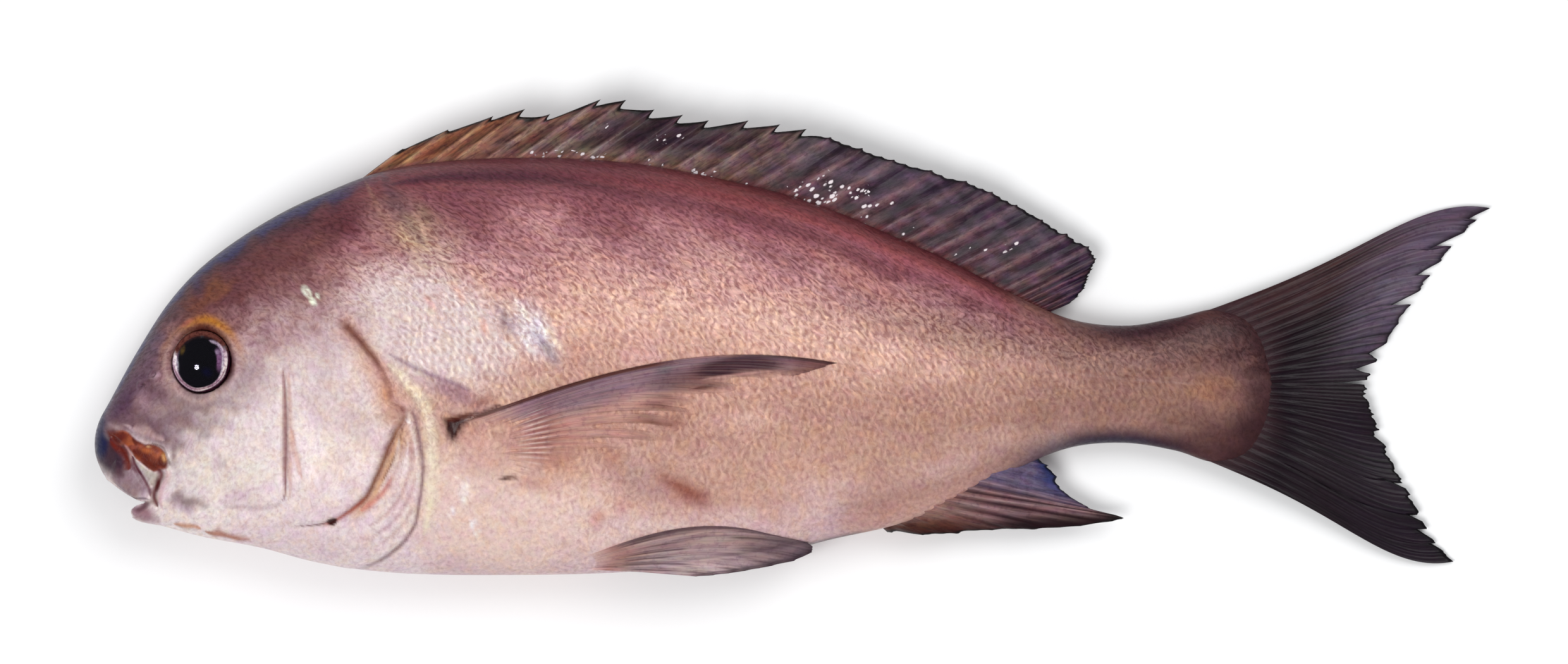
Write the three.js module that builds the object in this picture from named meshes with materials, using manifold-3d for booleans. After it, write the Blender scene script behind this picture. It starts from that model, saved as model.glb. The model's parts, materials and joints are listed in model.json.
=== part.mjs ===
// A whole raw sea bream lying on its right side, left side up.
// Units are millimetres and +Z is up. The head points to -X and the back to +Y.
// The body is a loft of oval sections between the line of the back and the line of the belly.
// The fins are thin ribbed slabs, and all of it is fused into one solid.
// The two eyeballs are solids of their own, each in its open socket.
import * as THREE from "three";
import { mergeVertices } from "three/addons/utils/BufferGeometryUtils.js";
import Module from "manifold-3d";

const wasm = await Module();
wasm.setup();

// ---------------------------------------------------------------- driving dimensions

// One row for each station from the tip of the snout to the root of the tail.
// x and y of the back line, x and y of the belly line, half width, height of the mid-plane.
const STATIONS = [
  [0.3, -15.9, 0.3, -15.9, 0.0, 21.4],
  [1.5, -10.0, 1.2, -21.5, 6.2, 21.4],
  [5.0, -3.4, 4.8, -28.4, 9.8, 21.6],
  [12.3, 9.8, 11.0, -37.4, 13.2, 21.9],
  [21.7, 24.3, 20.5, -40.0, 16.4, 22.4],
  [32.6, 35.7, 32.0, -43.0, 19.4, 22.8],
  [48.9, 47.0, 48.0, -46.0, 23.0, 23.2],
  [65.2, 55.1, 65.2, -50.4, 25.6, 23.6],
  [87.0, 62.7, 87.0, -53.2, 27.4, 23.9],
  [118.0, 65.6, 118.0, -53.8, 28.0, 24.0],
  [154.4, 64.1, 154.4, -52.8, 26.6, 23.6],
  [190.6, 57.2, 190.6, -48.6, 23.2, 22.0],
  [212.0, 50.6, 212.0, -43.6, 20.2, 20.4],
  [230.0, 43.0, 230.0, -39.6, 17.4, 18.8],
  [246.0, 36.0, 246.0, -33.6, 14.8, 17.0],
  [263.1, 27.0, 263.1, -24.4, 11.8, 15.0],
  [280.0, 19.6, 280.0, -17.6, 9.6, 13.2],
  [296.0, 17.6, 296.0, -16.2, 8.0, 11.6],
  [310.6, 19.8, 310.6, -18.4, 6.6, 10.2],
  [323.0, 22.2, 323.0, -21.8, 4.8, 9.0],
  [334.0, 17.0, 334.0, -17.0, 2.6, 8.2],
  [339.0, 0.0, 339.0, 0.0, 0.0, 7.8],
];
const HEAD_STATIONS = 9; // stations with the closer rings of the head
const HEAD_RINGS = 5; // rings from one head station to the next
const BODY_RINGS = 2; // rings from one body station to the next
const SECTION_SIDES = 38;

const WIDEST_RISE = 0.1; // widest line above mid-depth, as a share of the half depth
const BACK_FULLNESS = -0.08; // the back is a little sharper than an oval
const BELLY_FULLNESS = 0.12; // the belly is a little fuller
const REST = 0.0; // underside of the flattened flank and of the fins pressed beneath it

// Gill cover: a plate whose rear edge stands proud of the shoulder.
const COVER_CENTRE = [62.0, -10.0];
const COVER_RADIUS = 26.0;
const COVER_CORNER = 3.0; // extra reach of the blunt rear corner
const COVER_CORNER_ANGLE = 0.09;
const COVER_CORNER_SPREAD = 0.16;
const COVER_FLARE = 3.5; // extra reach towards nape and throat
const COVER_HEIGHT = 2.2;
const COVER_EDGE = 2.2;
const COVER_FADE = 26.0;

// Cheek plate in front of it: a shallow bent groove.
const CHEEK_CENTRE = [42.0, -10.0];
const CHEEK_REACH = [15.0, 24.0];
const CHEEK_DEPTH = 0.8;
const CHEEK_SPREAD = 2.0;

// Upper jaw bone over the corner of the mouth.
const JAW_FRONT = [8.0, -15.0];
const JAW_REAR = [19.5, -21.5];
const JAW_RADIUS = 3.6;
const JAW_HEIGHT = 1.0;

// Mouth: a wedge cut back between the lips.
const MOUTH_OUTLINE = [[-1.0, -26.6], [2.6, -26.4], [7.0, -28.8], [15.4, -32.8], [11.2, -35.4], [-1.0, -37.0]];

// Eyes.
const EYE_PLACE = [32.5, 8.0];
const EYE_RADIUS = 8.8;
const EYE_DEPTH = 5.0;
const EYE_DOME = 2.6;
const EYE_SINK = 0.4; // the eye's widest line below the skin
const EYE_GAP = 0.3;
const EYE_SIDES = 18;

// Back fin: hard spines in front, soft rays behind. The root line lies inside the back.
const BACK_FIN_ROOTS = [
  [79.0, 57.0], [127.2, 62.6], [172.5, 57.8], [212.4, 47.4], [243.2, 34.0], [268.6, 21.4],
];
const SPINE_TIPS = [
  [83.4, 64.8], [88.6, 68.3], [101.5, 73.8], [114.5, 77.7], [123.6, 79.7], [130.8, 78.3], [145.3, 82.5], [152.6, 82.3],
  [160.7, 79.6], [168.9, 78.1], [176.3, 76.5], [187.7, 76.5], [196.8, 75.4], [204.4, 74.1],
];
const SOFT_FIN_EDGE = [
  [211.6, 71.9], [228.7, 65.8], [248.6, 60.0], [263.1, 54.0], [276.7, 46.0], [287.8, 39.0],
  [286.8, 33.2], [284.6, 28.0], [280.4, 24.0], [274.4, 22.2],
];
const SOFT_RAYS = 18;
const SPINE_NOTCH = 3.8; // depth of the web behind a spine's tip, from the fourth spine on
const SPINE_NOTCH_PLACE = 0.2; // its place on the way to the next tip
const RAY_NOTCH = 0.7;

// Tail fin: two lobes round a fork.
const TAIL_ROOTS = [[313.0, 19.4], [329.0, 10.0], [331.0, 0.0], [329.0, -10.0], [313.0, -18.4]];
const TAIL_EDGE = [
  [402.6, 51.7], [393.8, 43.2], [386.0, 33.0], [378.8, 22.6], [370.8, 9.6], [366.8, -0.8],
  [369.6, -9.8], [374.0, -21.2], [379.8, -32.2], [385.6, -43.4], [392.0, -50.8],
];
const TAIL_RAYS = 24;
const TAIL_ROWS = 5;
const TAIL_BULGE = 4.6; // the outer rays bow out towards their tips
// Splits between rays: number of the ray above the split, and its depth.
const TAIL_SPLITS = [
  [0, 5.0], [2, 7.0], [4, 4.5], [6, 4.5], [9, 2.5], [10, 3.5], [15, 2.0], [19, 3.5], [21, 4.0],
];

// Vent fin below the tail root, laid back.
const VENT_FIN_ROOTS = [[224.0, -38.4], [246.0, -30.4], [269.0, -19.0]];
const VENT_FIN_EDGE = [
  [228.0, -42.2], [243.0, -42.8], [258.0, -41.4], [276.0, -41.0], [296.4, -38.4], [287.6, -35.4],
  [279.4, -30.4], [275.6, -24.0], [271.4, -20.6],
];
const VENT_RAYS = 12;

// Breast fins on the flanks and belly fins under the breast, both laid back.
const BREAST_FIN_ROOTS = [[103.5, -9.6], [108.0, -17.0], [113.0, -26.0]];
const BREAST_FIN_EDGE = [
  [213.2, 7.0], [201.5, 3.4], [182.0, -1.8], [174.0, -9.0], [168.0, -17.0], [154.0, -23.4],
  [140.0, -27.8], [126.0, -28.8],
];
const BREAST_RAYS = 10;
const BREAST_BULGE = 11.0;
const BELLY_FIN_ROOTS = [[139.0, -48.6], [140.5, -50.4], [142.0, -52.0]];
const BELLY_FIN_EDGE = [[199.0, -43.2], [206.9, -45.4], [201.0, -49.0], [187.0, -52.0], [175.0, -53.6]];
const BELLY_RAYS = 6;
const BELLY_BULGE = 6.0;
const BELLY_FIN_DROP = 1.0; // the lower fin reaches this much further out

const FIN_ROOT = 1.3; // half thickness of a ray at the body
const FIN_TIP = 0.5; // half thickness of a ray at the edge
const WEB_SHARE = 0.5; // the skin between the rays, as a share of the ray
const FIN_ROWS = 3;
const FIN_PROUD = 1.3; // how far a laid-back fin stands off the flank
const FIN_SUNK = 1.6; // how far its root reaches into the flank
const FIN_PRINT_GROWTH = 1.07; // outline of the shallow print that the pressed fin leaves
const FIN_PRINT_DEPTH = 0.7;
const UPRIGHT_DROOP = 3.0; // how far the edges of the upright fins hang
const TAIL_TIP_HEIGHT = 1.6;

const SKIN_COLOUR = 0xb08a88;
const EYE_COLOUR = 0x15131a;

// ---------------------------------------------------------------- curves

function clamp(value, low, high) {
  return Math.min(Math.max(value, low), high);
}

function smooth(low, high, value) {
  const t = clamp((value - low) / (high - low), 0, 1);
  return t * t * (3 - 2 * t);
}

// Catmull-Rom curve through rows of numbers, with t from 0 to the last row's index.
function spline(rows, t, before, after) {
  const last = rows.length - 1;
  const i = clamp(Math.floor(t), 0, last - 1);
  const f = t - i;
  const b = rows[i];
  const c = rows[i + 1];
  const a = i > 0 ? rows[i - 1] : before ?? b.map((v, k) => 2 * v - c[k]);
  const d = i + 2 <= last ? rows[i + 2] : after ?? c.map((v, k) => 2 * v - b[k]);
  return b.map((v, k) => {
    const slopeB = (c[k] - a[k]) / 2;
    const slopeC = (d[k] - v) / 2;
    const rise = c[k] - v;
    return v + f * slopeB + f * f * (3 * rise - 2 * slopeB - slopeC) + f * f * f * (slopeB + slopeC - 2 * rise);
  });
}

// The same curve with t from 0 to 1.
function along(rows, share) {
  return spline(rows, share * (rows.length - 1));
}

// Beyond either end the outline turns over, so that the end is round.
function turned([xa, ya, xb, yb, width, height]) {
  return [xb, yb, xa, ya, -width, height];
}

function station(t) {
  const end = STATIONS.length - 1;
  return spline(STATIONS, t, turned(STATIONS[1]), turned(STATIONS[end - 1]));
}

function stationAt(x) {
  let low = 0;
  let high = STATIONS.length - 1;
  for (let step = 0; step < 30; step += 1) {
    const middle = (low + high) / 2;
    const [xTop, , xBottom] = station(middle);
    if ((xTop + xBottom) / 2 < x) {
      low = middle;
    } else {
      high = middle;
    }
  }
  return station((low + high) / 2);
}

function midHeight(x) {
  const end = STATIONS[STATIONS.length - 1];
  if (x < end[0]) {
    return stationAt(x)[5];
  }
  return THREE.MathUtils.lerp(end[5], TAIL_TIP_HEIGHT, clamp((x - end[0]) / 50, 0, 1));
}

// ---------------------------------------------------------------- body

function coverEdge(angle) {
  const corner = COVER_CORNER * Math.exp(-(((angle - COVER_CORNER_ANGLE) / COVER_CORNER_SPREAD) ** 2));
  return COVER_RADIUS + corner + COVER_FLARE * (angle / (Math.PI / 2)) ** 2;
}

function gillCover(x, y) {
  const dx = x - COVER_CENTRE[0];
  const dy = y - COVER_CENTRE[1];
  const inside = coverEdge(Math.atan2(dy, dx)) - Math.hypot(dx, dy);
  const behind = smooth(-4, 6, dx);
  return COVER_HEIGHT * behind * smooth(0, COVER_EDGE, inside) * (1 - smooth(COVER_EDGE, COVER_FADE, inside));
}

function cheekGroove(x, y) {
  const dx = (x - CHEEK_CENTRE[0]) / CHEEK_REACH[0];
  const dy = (y - CHEEK_CENTRE[1]) / CHEEK_REACH[1];
  const reach = (Math.max(dx, 0) ** 4 + Math.min(dy, 0) ** 4) ** 0.25;
  const off = (reach - 1) * CHEEK_REACH[0];
  const front = smooth(-0.4, 0.2, dx);
  const top = 1 - smooth(0.4, 0.8, dy);
  return -CHEEK_DEPTH * front * top * Math.exp(-((off / CHEEK_SPREAD) ** 2));
}

function upperJaw(x, y) {
  const dx = JAW_REAR[0] - JAW_FRONT[0];
  const dy = JAW_REAR[1] - JAW_FRONT[1];
  const share = clamp(((x - JAW_FRONT[0]) * dx + (y - JAW_FRONT[1]) * dy) / (dx * dx + dy * dy), 0, 1);
  const off = Math.hypot(x - JAW_FRONT[0] - share * dx, y - JAW_FRONT[1] - share * dy);
  return JAW_HEIGHT * (1 - smooth(JAW_RADIUS * 0.5, JAW_RADIUS, off));
}

function relief(x, y) {
  return gillCover(x, y) + cheekGroove(x, y) + upperJaw(x, y);
}

// Half thickness of the plain oval at a share c of the half depth, from -1 at the belly to 1.
function ovalHalf(width, c) {
  const fullness = c > 0 ? BACK_FULLNESS : BELLY_FULLNESS;
  return width * Math.sqrt(Math.max(1 - c * c, 0)) * (1 + fullness * c * c);
}

function sectionPoint(t, angle) {
  const [xTop, yTop, xBottom, yBottom, width, height] = station(t);
  const c = Math.cos(angle);
  const side = Math.sign(Math.sin(angle));
  const raised = c + WIDEST_RISE * (1 - c * c);
  const x = (xTop + xBottom) / 2 + (raised * (xTop - xBottom)) / 2;
  const y = (yTop + yBottom) / 2 + (raised * (yTop - yBottom)) / 2;
  const facing = Math.sqrt(Math.abs(Math.sin(angle)));
  const half = ovalHalf(width, c) + facing * relief(x, y);
  return new THREE.Vector3(x, y, Math.max(height + side * half, REST));
}

// Height of the plain flank above or below the mid-plane at x and y.
function flankHalf(x, y) {
  const [, yTop, , yBottom, width] = stationAt(x);
  const raised = clamp((2 * y - yTop - yBottom) / (yTop - yBottom), -0.97, 0.97);
  const root = Math.sqrt(1 - 4 * WIDEST_RISE * (raised - WIDEST_RISE));
  return ovalHalf(width, (1 - root) / (2 * WIDEST_RISE));
}

function ringPlaces() {
  const places = [];
  for (let i = 0; i < STATIONS.length - 1; i += 1) {
    const rings = i < HEAD_STATIONS ? HEAD_RINGS : BODY_RINGS;
    for (let k = 0; k < rings; k += 1) {
      places.push(i + k / rings);
    }
  }
  return places.slice(1);
}

// A closed surface from rings of points between two end points.
function closedLoft(rings, start, end) {
  const points = [start, ...rings.flat(), end];
  const sides = rings[0].length;
  const index = [];
  const at = (ring, side) => 1 + ring * sides + (side % sides);
  for (let s = 0; s < sides; s += 1) {
    index.push(0, at(0, s + 1), at(0, s));
    index.push(points.length - 1, at(rings.length - 1, s), at(rings.length - 1, s + 1));
  }
  for (let r = 0; r + 1 < rings.length; r += 1) {
    for (let s = 0; s < sides; s += 1) {
      index.push(at(r, s), at(r, s + 1), at(r + 1, s + 1));
      index.push(at(r, s), at(r + 1, s + 1), at(r + 1, s));
    }
  }
  return indexed(points, index);
}

function indexed(points, index) {
  const geometry = new THREE.BufferGeometry();
  geometry.setAttribute("position", new THREE.Float32BufferAttribute(points.flatMap((p) => p.toArray()), 3));
  geometry.setIndex(index);
  return geometry;
}

function bodyGeometry() {
  const rings = ringPlaces().map((t) => {
    const ring = [];
    for (let s = 0; s < SECTION_SIDES; s += 1) {
      ring.push(sectionPoint(t, (2 * Math.PI * (s + 0.5)) / SECTION_SIDES));
    }
    return ring;
  });
  const first = STATIONS[0];
  const last = STATIONS[STATIONS.length - 1];
  return closedLoft(
    rings,
    new THREE.Vector3(first[0], first[1], first[5]),
    new THREE.Vector3(last[0], last[1], last[5]),
  );
}

// ---------------------------------------------------------------- fins

// A thin closed slab: place(column, v) gives x, y, and the heights of its upper and lower face.
// Seen from above, the columns follow each other clockwise round the roots.
function slab(columns, rows, place) {
  const points = [];
  const index = [];
  const layer = (columns + 1) * (rows + 1);
  const at = (face, i, j) => face * layer + i * (rows + 1) + j;
  for (const face of [0, 1]) {
    for (let i = 0; i <= columns; i += 1) {
      for (let j = 0; j <= rows; j += 1) {
        const [x, y, upper, lower] = place(i, j / rows);
        points.push(new THREE.Vector3(x, y, face === 0 ? upper : lower));
      }
    }
  }
  const quad = (a, b, c, d) => index.push(a, b, c, a, c, d);
  for (let i = 0; i < columns; i += 1) {
    for (let j = 0; j < rows; j += 1) {
      quad(at(0, i, j), at(0, i + 1, j), at(0, i + 1, j + 1), at(0, i, j + 1));
      quad(at(1, i, j), at(1, i, j + 1), at(1, i + 1, j + 1), at(1, i + 1, j));
    }
    quad(at(0, i, 0), at(1, i, 0), at(1, i + 1, 0), at(0, i + 1, 0));
    quad(at(0, i + 1, rows), at(1, i + 1, rows), at(1, i, rows), at(0, i, rows));
  }
  for (let j = 0; j < rows; j += 1) {
    quad(at(0, 0, j + 1), at(1, 0, j + 1), at(1, 0, j), at(0, 0, j));
    quad(at(0, columns, j), at(1, columns, j), at(1, columns, j + 1), at(0, columns, j + 1));
  }
  return indexed(points, index);
}

// A point of a fin ray that bows sideways: v is 0 at the root and 1 at the edge.
function rayPoint(root, tip, bow, v) {
  const dx = tip[0] - root[0];
  const dy = tip[1] - root[1];
  const length = Math.hypot(dx, dy);
  return [root[0] + v * dx - (bow * dy) / length, root[1] + v * dy + (bow * dx) / length];
}

// Even columns are rays and odd ones the skin between them.
function rayThickness(column, v) {
  const ray = THREE.MathUtils.lerp(FIN_ROOT, FIN_TIP, v);
  return column % 2 === 0 ? ray : ray * WEB_SHARE;
}

// The edge steps back by a notch between two rays.
function notched(root, tip, notch) {
  const length = Math.hypot(tip[0] - root[0], tip[1] - root[1]);
  const share = clamp(1 - notch / length, 0.3, 1);
  return [root[0] + share * (tip[0] - root[0]), root[1] + share * (tip[1] - root[1])];
}

// An upright fin in the mid-plane: the edge droops a little.
function uprightPoint([x, y], column, v) {
  const half = rayThickness(column, v);
  const middle = midHeight(x) - UPRIGHT_DROOP * v * v;
  return [x, y, middle + half, middle - half];
}

function backFin() {
  const tips = [...SPINE_TIPS];
  for (let ray = 0; ray < SOFT_RAYS; ray += 1) {
    tips.push(along(SOFT_FIN_EDGE, ray / (SOFT_RAYS - 1)));
  }
  const last = tips.length - 1;
  return slab(2 * last, FIN_ROWS, (column, v) => {
    const web = column % 2;
    const ray = (column - web) / 2;
    const spiny = ray < SPINE_TIPS.length ? 1 : 0;
    const place = ray + web * (spiny ? SPINE_NOTCH_PLACE : 0.5);
    const root = along(BACK_FIN_ROOTS, place / last);
    const notch = web * (spiny ? SPINE_NOTCH * smooth(0, 5, ray) : RAY_NOTCH);
    const tip = notched(root, spline(tips, place), notch);
    return uprightPoint(rayPoint(root, tip, 0, v), column, v);
  });
}

function ventFin() {
  const columns = 2 * VENT_RAYS;
  return slab(columns, FIN_ROWS, (column, v) => {
    const share = 1 - column / columns;
    const root = along(VENT_FIN_ROOTS, share);
    const tip = notched(root, along(VENT_FIN_EDGE, share), (column % 2) * RAY_NOTCH);
    return uprightPoint(rayPoint(root, tip, 0, v), column, v);
  });
}

function tailFin() {
  const columns = 2 * TAIL_RAYS;
  const splits = new Map(TAIL_SPLITS);
  return slab(columns, TAIL_ROWS, (column, v) => {
    const share = column / columns;
    const root = along(TAIL_ROOTS, share);
    const notch = (column % 2) * (splits.get((column - 1) / 2) ?? RAY_NOTCH);
    const tip = notched(root, along(TAIL_EDGE, share), notch);
    const bow = TAIL_BULGE * (1 - 2 * share) * 12.2 * v ** 4 * (1 - v);
    const [x, y] = rayPoint(root, tip, bow, v);
    const half = rayThickness(column, v);
    const middle = midHeight(x);
    return [x, y, middle + half, middle - half];
  });
}

// A fin laid back on one flank: side is 1 on the upper flank and -1 on the lower one.
function laidFin(side, rays, base, edge, bulge, drop) {
  const columns = 2 * rays;
  return slab(columns, FIN_ROWS + 1, (column, v) => {
    const share = column / columns;
    const root = along(base, share);
    const tip = notched(root, along(edge, share), (column % 2) * RAY_NOTCH);
    const [x, y] = rayPoint(root, tip, 4 * bulge * (1 - share) * v * (1 - v), v);
    const lowered = y - drop * v;
    const flank = flankHalf(x, lowered);
    const proud = FIN_PROUD * (column % 2 === 0 ? 1 : 1 - 0.5 * WEB_SHARE) * (1 - 0.4 * v);
    const outer = midHeight(x) + side * (flank + proud);
    const inner = midHeight(x) + side * (flank - FIN_SUNK);
    const low = Math.max(Math.min(outer, inner), REST);
    const high = Math.max(Math.max(outer, inner), low + FIN_SUNK);
    return [x, lowered, high, low];
  });
}

// The print round the breast fin that the fish lies on.
function finPrint() {
  const centre = along(BREAST_FIN_EDGE, 0.6);
  const grown = (rows) => rows.map((row) => row.map((v, k) => centre[k] + FIN_PRINT_GROWTH * (v - centre[k])));
  const roots = grown(BREAST_FIN_ROOTS);
  const edge = grown(BREAST_FIN_EDGE);
  return slab(BREAST_RAYS, FIN_ROWS, (column, v) => {
    const share = column / BREAST_RAYS;
    const bow = 4 * BREAST_BULGE * (1 - share) * v * (1 - v);
    const [x, y] = rayPoint(along(roots, share), along(edge, share), bow, v);
    return [x, y, REST + FIN_PRINT_DEPTH, REST - FIN_PRINT_DEPTH];
  });
}

// ---------------------------------------------------------------- eyes

// Profiles of the eyeball and of its open socket, from the bottom of the axis to the top.
function eyeProfile() {
  const profile = [];
  const steps = 10;
  for (let i = 0; i <= steps; i += 1) {
    const angle = -Math.PI / 2 + (Math.PI * i) / steps;
    const height = angle < 0 ? EYE_DEPTH : EYE_DOME;
    profile.push(new THREE.Vector2(EYE_RADIUS * Math.cos(angle), height * Math.sin(angle)));
  }
  return profile;
}

function socketProfile() {
  const profile = [];
  const steps = 5;
  for (let i = 0; i <= steps; i += 1) {
    const angle = -Math.PI / 2 + (Math.PI * i) / (2 * steps);
    const radius = (EYE_RADIUS + EYE_GAP) * Math.cos(angle);
    profile.push(new THREE.Vector2(radius, (EYE_DEPTH + EYE_GAP) * Math.sin(angle)));
  }
  profile.push(new THREE.Vector2(EYE_RADIUS + EYE_GAP, 3 * EYE_DEPTH));
  profile.push(new THREE.Vector2(0, 3 * EYE_DEPTH));
  return profile;
}

// Turns a lathed shape so that its axis stands square on the skin at the eye.
function eyeMatrix(side) {
  const [x, y] = EYE_PLACE;
  const step = 2;
  const slopeX = (flankHalf(x + step, y) - flankHalf(x - step, y)) / (2 * step);
  const slopeY = (flankHalf(x, y + step) - flankHalf(x, y - step)) / (2 * step);
  const normal = new THREE.Vector3(-slopeX, -slopeY, side).normalize();
  const centre = new THREE.Vector3(x, y, midHeight(x) + side * flankHalf(x, y));
  centre.addScaledVector(normal, -EYE_SINK);
  const turn = new THREE.Quaternion().setFromUnitVectors(new THREE.Vector3(0, 1, 0), normal);
  return new THREE.Matrix4().compose(centre, turn, new THREE.Vector3(1, 1, 1));
}

function lathed(profile, side) {
  return new THREE.LatheGeometry(profile, EYE_SIDES).applyMatrix4(eyeMatrix(side));
}

// ---------------------------------------------------------------- cutting and joining

function toSolid(geometry) {
  const bare = geometry.clone();
  bare.deleteAttribute("normal");
  bare.deleteAttribute("uv");
  const merged = mergeVertices(bare, 1e-4);
  const corners = Array.from(merged.index.array);
  const kept = [];
  for (let i = 0; i < corners.length; i += 3) {
    const [a, b, c] = corners.slice(i, i + 3);
    if (a !== b && b !== c && c !== a) {
      kept.push(a, b, c);
    }
  }
  return new wasm.Manifold(new wasm.Mesh({
    numProp: 3,
    vertProperties: new Float32Array(merged.attributes.position.array),
    triVerts: new Uint32Array(kept),
  }));
}

function toGeometry(solid) {
  const { vertProperties, triVerts } = solid.getMesh();
  const geometry = new THREE.BufferGeometry();
  geometry.setAttribute("position", new THREE.BufferAttribute(new Float32Array(vertProperties), 3));
  geometry.setIndex(new THREE.BufferAttribute(new Uint32Array(triVerts), 1));
  geometry.computeVertexNormals();
  return geometry;
}

function mouthWedge() {
  const shape = new THREE.Shape(MOUTH_OUTLINE.map(([x, y]) => new THREE.Vector2(x, y)));
  return new THREE.ExtrudeGeometry(shape, { depth: 60, bevelEnabled: false });
}

function fishSolid() {
  let solid = toSolid(bodyGeometry());
  solid = solid.subtract(toSolid(mouthWedge()));
  solid = solid.subtract(toSolid(finPrint()));
  const fins = [backFin(), ventFin(), tailFin()];
  for (const side of [1, -1]) {
    fins.push(laidFin(side, BREAST_RAYS, BREAST_FIN_ROOTS, BREAST_FIN_EDGE, BREAST_BULGE, 0));
    const drop = side > 0 ? 0 : BELLY_FIN_DROP;
    fins.push(laidFin(side, BELLY_RAYS, BELLY_FIN_ROOTS, BELLY_FIN_EDGE, BELLY_BULGE, drop));
  }
  for (const fin of fins) {
    solid = solid.add(toSolid(fin));
  }
  for (const side of [1, -1]) {
    solid = solid.subtract(toSolid(lathed(socketProfile(), side)));
  }
  return solid;
}

// ---------------------------------------------------------------- the part

const skin = new THREE.MeshStandardMaterial({ color: SKIN_COLOUR, roughness: 0.35, metalness: 0 });
const cornea = new THREE.MeshStandardMaterial({ color: EYE_COLOUR, roughness: 0.05, metalness: 0 });

function named(name, geometry, material) {
  const mesh = new THREE.Mesh(geometry, material);
  mesh.name = name;
  return mesh;
}

const group = new THREE.Group();
group.add(named("fish", toGeometry(fishSolid()), skin));
group.add(named("eye_left", toGeometry(toSolid(lathed(eyeProfile(), 1))), cornea));
group.add(named("eye_right", toGeometry(toSolid(lathed(eyeProfile(), -1))), cornea));

// The origin is the middle of the outline, on the surface that the fish lies on.
const box = new THREE.Box3().setFromObject(group);
const middle = box.getCenter(new THREE.Vector3());
group.position.set(-middle.x, -middle.y, -box.min.z);

export default group;
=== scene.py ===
"""The looks of a whole raw sea bream that lies on its right side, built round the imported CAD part.

Lengths are millimetres in the fish's own frame: x runs from the tip of the snout to the tail, y up
towards the back from the axis of the body, and z up from the surface that the fish lies on.
placed() turns them into the part's frame, in metres. The body is the CAD's loft of oval sections,
on a finer grid with finer relief, and each fin is a ribbed sheet between the same roots and edges.
"""

import json
import math

import bmesh
import bpy
import numpy as np
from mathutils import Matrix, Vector

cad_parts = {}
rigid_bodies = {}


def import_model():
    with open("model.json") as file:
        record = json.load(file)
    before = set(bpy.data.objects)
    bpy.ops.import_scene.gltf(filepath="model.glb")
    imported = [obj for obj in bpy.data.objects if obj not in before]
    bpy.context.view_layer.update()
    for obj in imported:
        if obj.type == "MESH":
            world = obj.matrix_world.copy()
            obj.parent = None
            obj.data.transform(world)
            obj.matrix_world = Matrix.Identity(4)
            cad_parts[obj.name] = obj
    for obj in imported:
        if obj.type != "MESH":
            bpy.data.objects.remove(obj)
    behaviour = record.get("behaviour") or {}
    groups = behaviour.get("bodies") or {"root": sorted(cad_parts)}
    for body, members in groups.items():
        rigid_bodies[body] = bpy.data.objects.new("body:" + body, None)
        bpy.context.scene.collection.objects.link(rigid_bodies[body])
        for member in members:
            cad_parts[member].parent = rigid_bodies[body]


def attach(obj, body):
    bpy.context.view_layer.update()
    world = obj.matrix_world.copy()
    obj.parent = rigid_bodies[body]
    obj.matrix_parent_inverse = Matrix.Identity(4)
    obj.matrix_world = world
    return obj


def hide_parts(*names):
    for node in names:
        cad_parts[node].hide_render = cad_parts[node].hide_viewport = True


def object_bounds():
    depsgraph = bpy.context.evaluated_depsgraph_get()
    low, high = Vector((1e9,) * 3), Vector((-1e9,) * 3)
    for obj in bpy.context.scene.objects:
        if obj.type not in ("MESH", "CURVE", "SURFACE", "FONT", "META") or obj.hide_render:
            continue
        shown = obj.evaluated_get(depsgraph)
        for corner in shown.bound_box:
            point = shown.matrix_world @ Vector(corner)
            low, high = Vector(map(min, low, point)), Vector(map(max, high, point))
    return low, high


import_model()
CAD_LOW, CAD_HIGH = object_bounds()

SNOUT_X = 0.3  # x of the foremost point of the fish
OUTLINE_Y = 13.95  # y of the middle of the outline
SHIFT = np.array([
    CAD_LOW.x * 1000 - SNOUT_X,
    (CAD_LOW.y + CAD_HIGH.y) * 500 - OUTLINE_Y,
    0.0,
])

# ---------------------------------------------------------- driving dimensions, as in the CAD

# One row for each station from the tip of the snout to the root of the tail:
# x and y of the back line, x and y of the belly line, half width, height of the mid-plane.
STATIONS = np.array([
    (0.3, -15.9, 0.3, -15.9, 0.0, 21.4),
    (1.5, -10.0, 1.2, -21.5, 6.2, 21.4),
    (5.0, -3.4, 4.8, -28.4, 9.8, 21.6),
    (12.3, 9.8, 11.0, -37.4, 13.2, 21.9),
    (21.7, 24.3, 20.5, -40.0, 16.4, 22.4),
    (32.6, 35.7, 32.0, -43.0, 19.4, 22.8),
    (48.9, 47.0, 48.0, -46.0, 23.0, 23.2),
    (65.2, 55.1, 65.2, -50.4, 25.6, 23.6),
    (87.0, 62.7, 87.0, -53.2, 27.4, 23.9),
    (118.0, 65.6, 118.0, -53.8, 28.0, 24.0),
    (154.4, 64.1, 154.4, -52.8, 26.6, 23.6),
    (190.6, 57.2, 190.6, -48.6, 23.2, 22.0),
    (212.0, 50.6, 212.0, -43.6, 20.2, 20.4),
    (230.0, 43.0, 230.0, -39.6, 17.4, 18.8),
    (246.0, 36.0, 246.0, -33.6, 14.8, 17.0),
    (263.1, 27.0, 263.1, -24.4, 11.8, 15.0),
    (280.0, 19.6, 280.0, -17.6, 9.6, 13.2),
    (296.0, 17.6, 296.0, -16.2, 8.0, 11.6),
    (310.6, 19.8, 310.6, -18.4, 6.6, 10.2),
    (323.0, 22.2, 323.0, -21.8, 4.8, 9.0),
    (334.0, 17.0, 334.0, -17.0, 2.6, 8.2),
    (339.0, 0.0, 339.0, 0.0, 0.0, 7.8),
])
BODY_END = 339.0  # x where the body ends, in the root of the tail fin
TAIL_TIP_X = 389.0  # x where the mid-plane stops sinking, near the tips of the tail fin
TAIL_TIP_HEIGHT = 1.6  # height of the mid-plane at the tip of the tail
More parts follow.
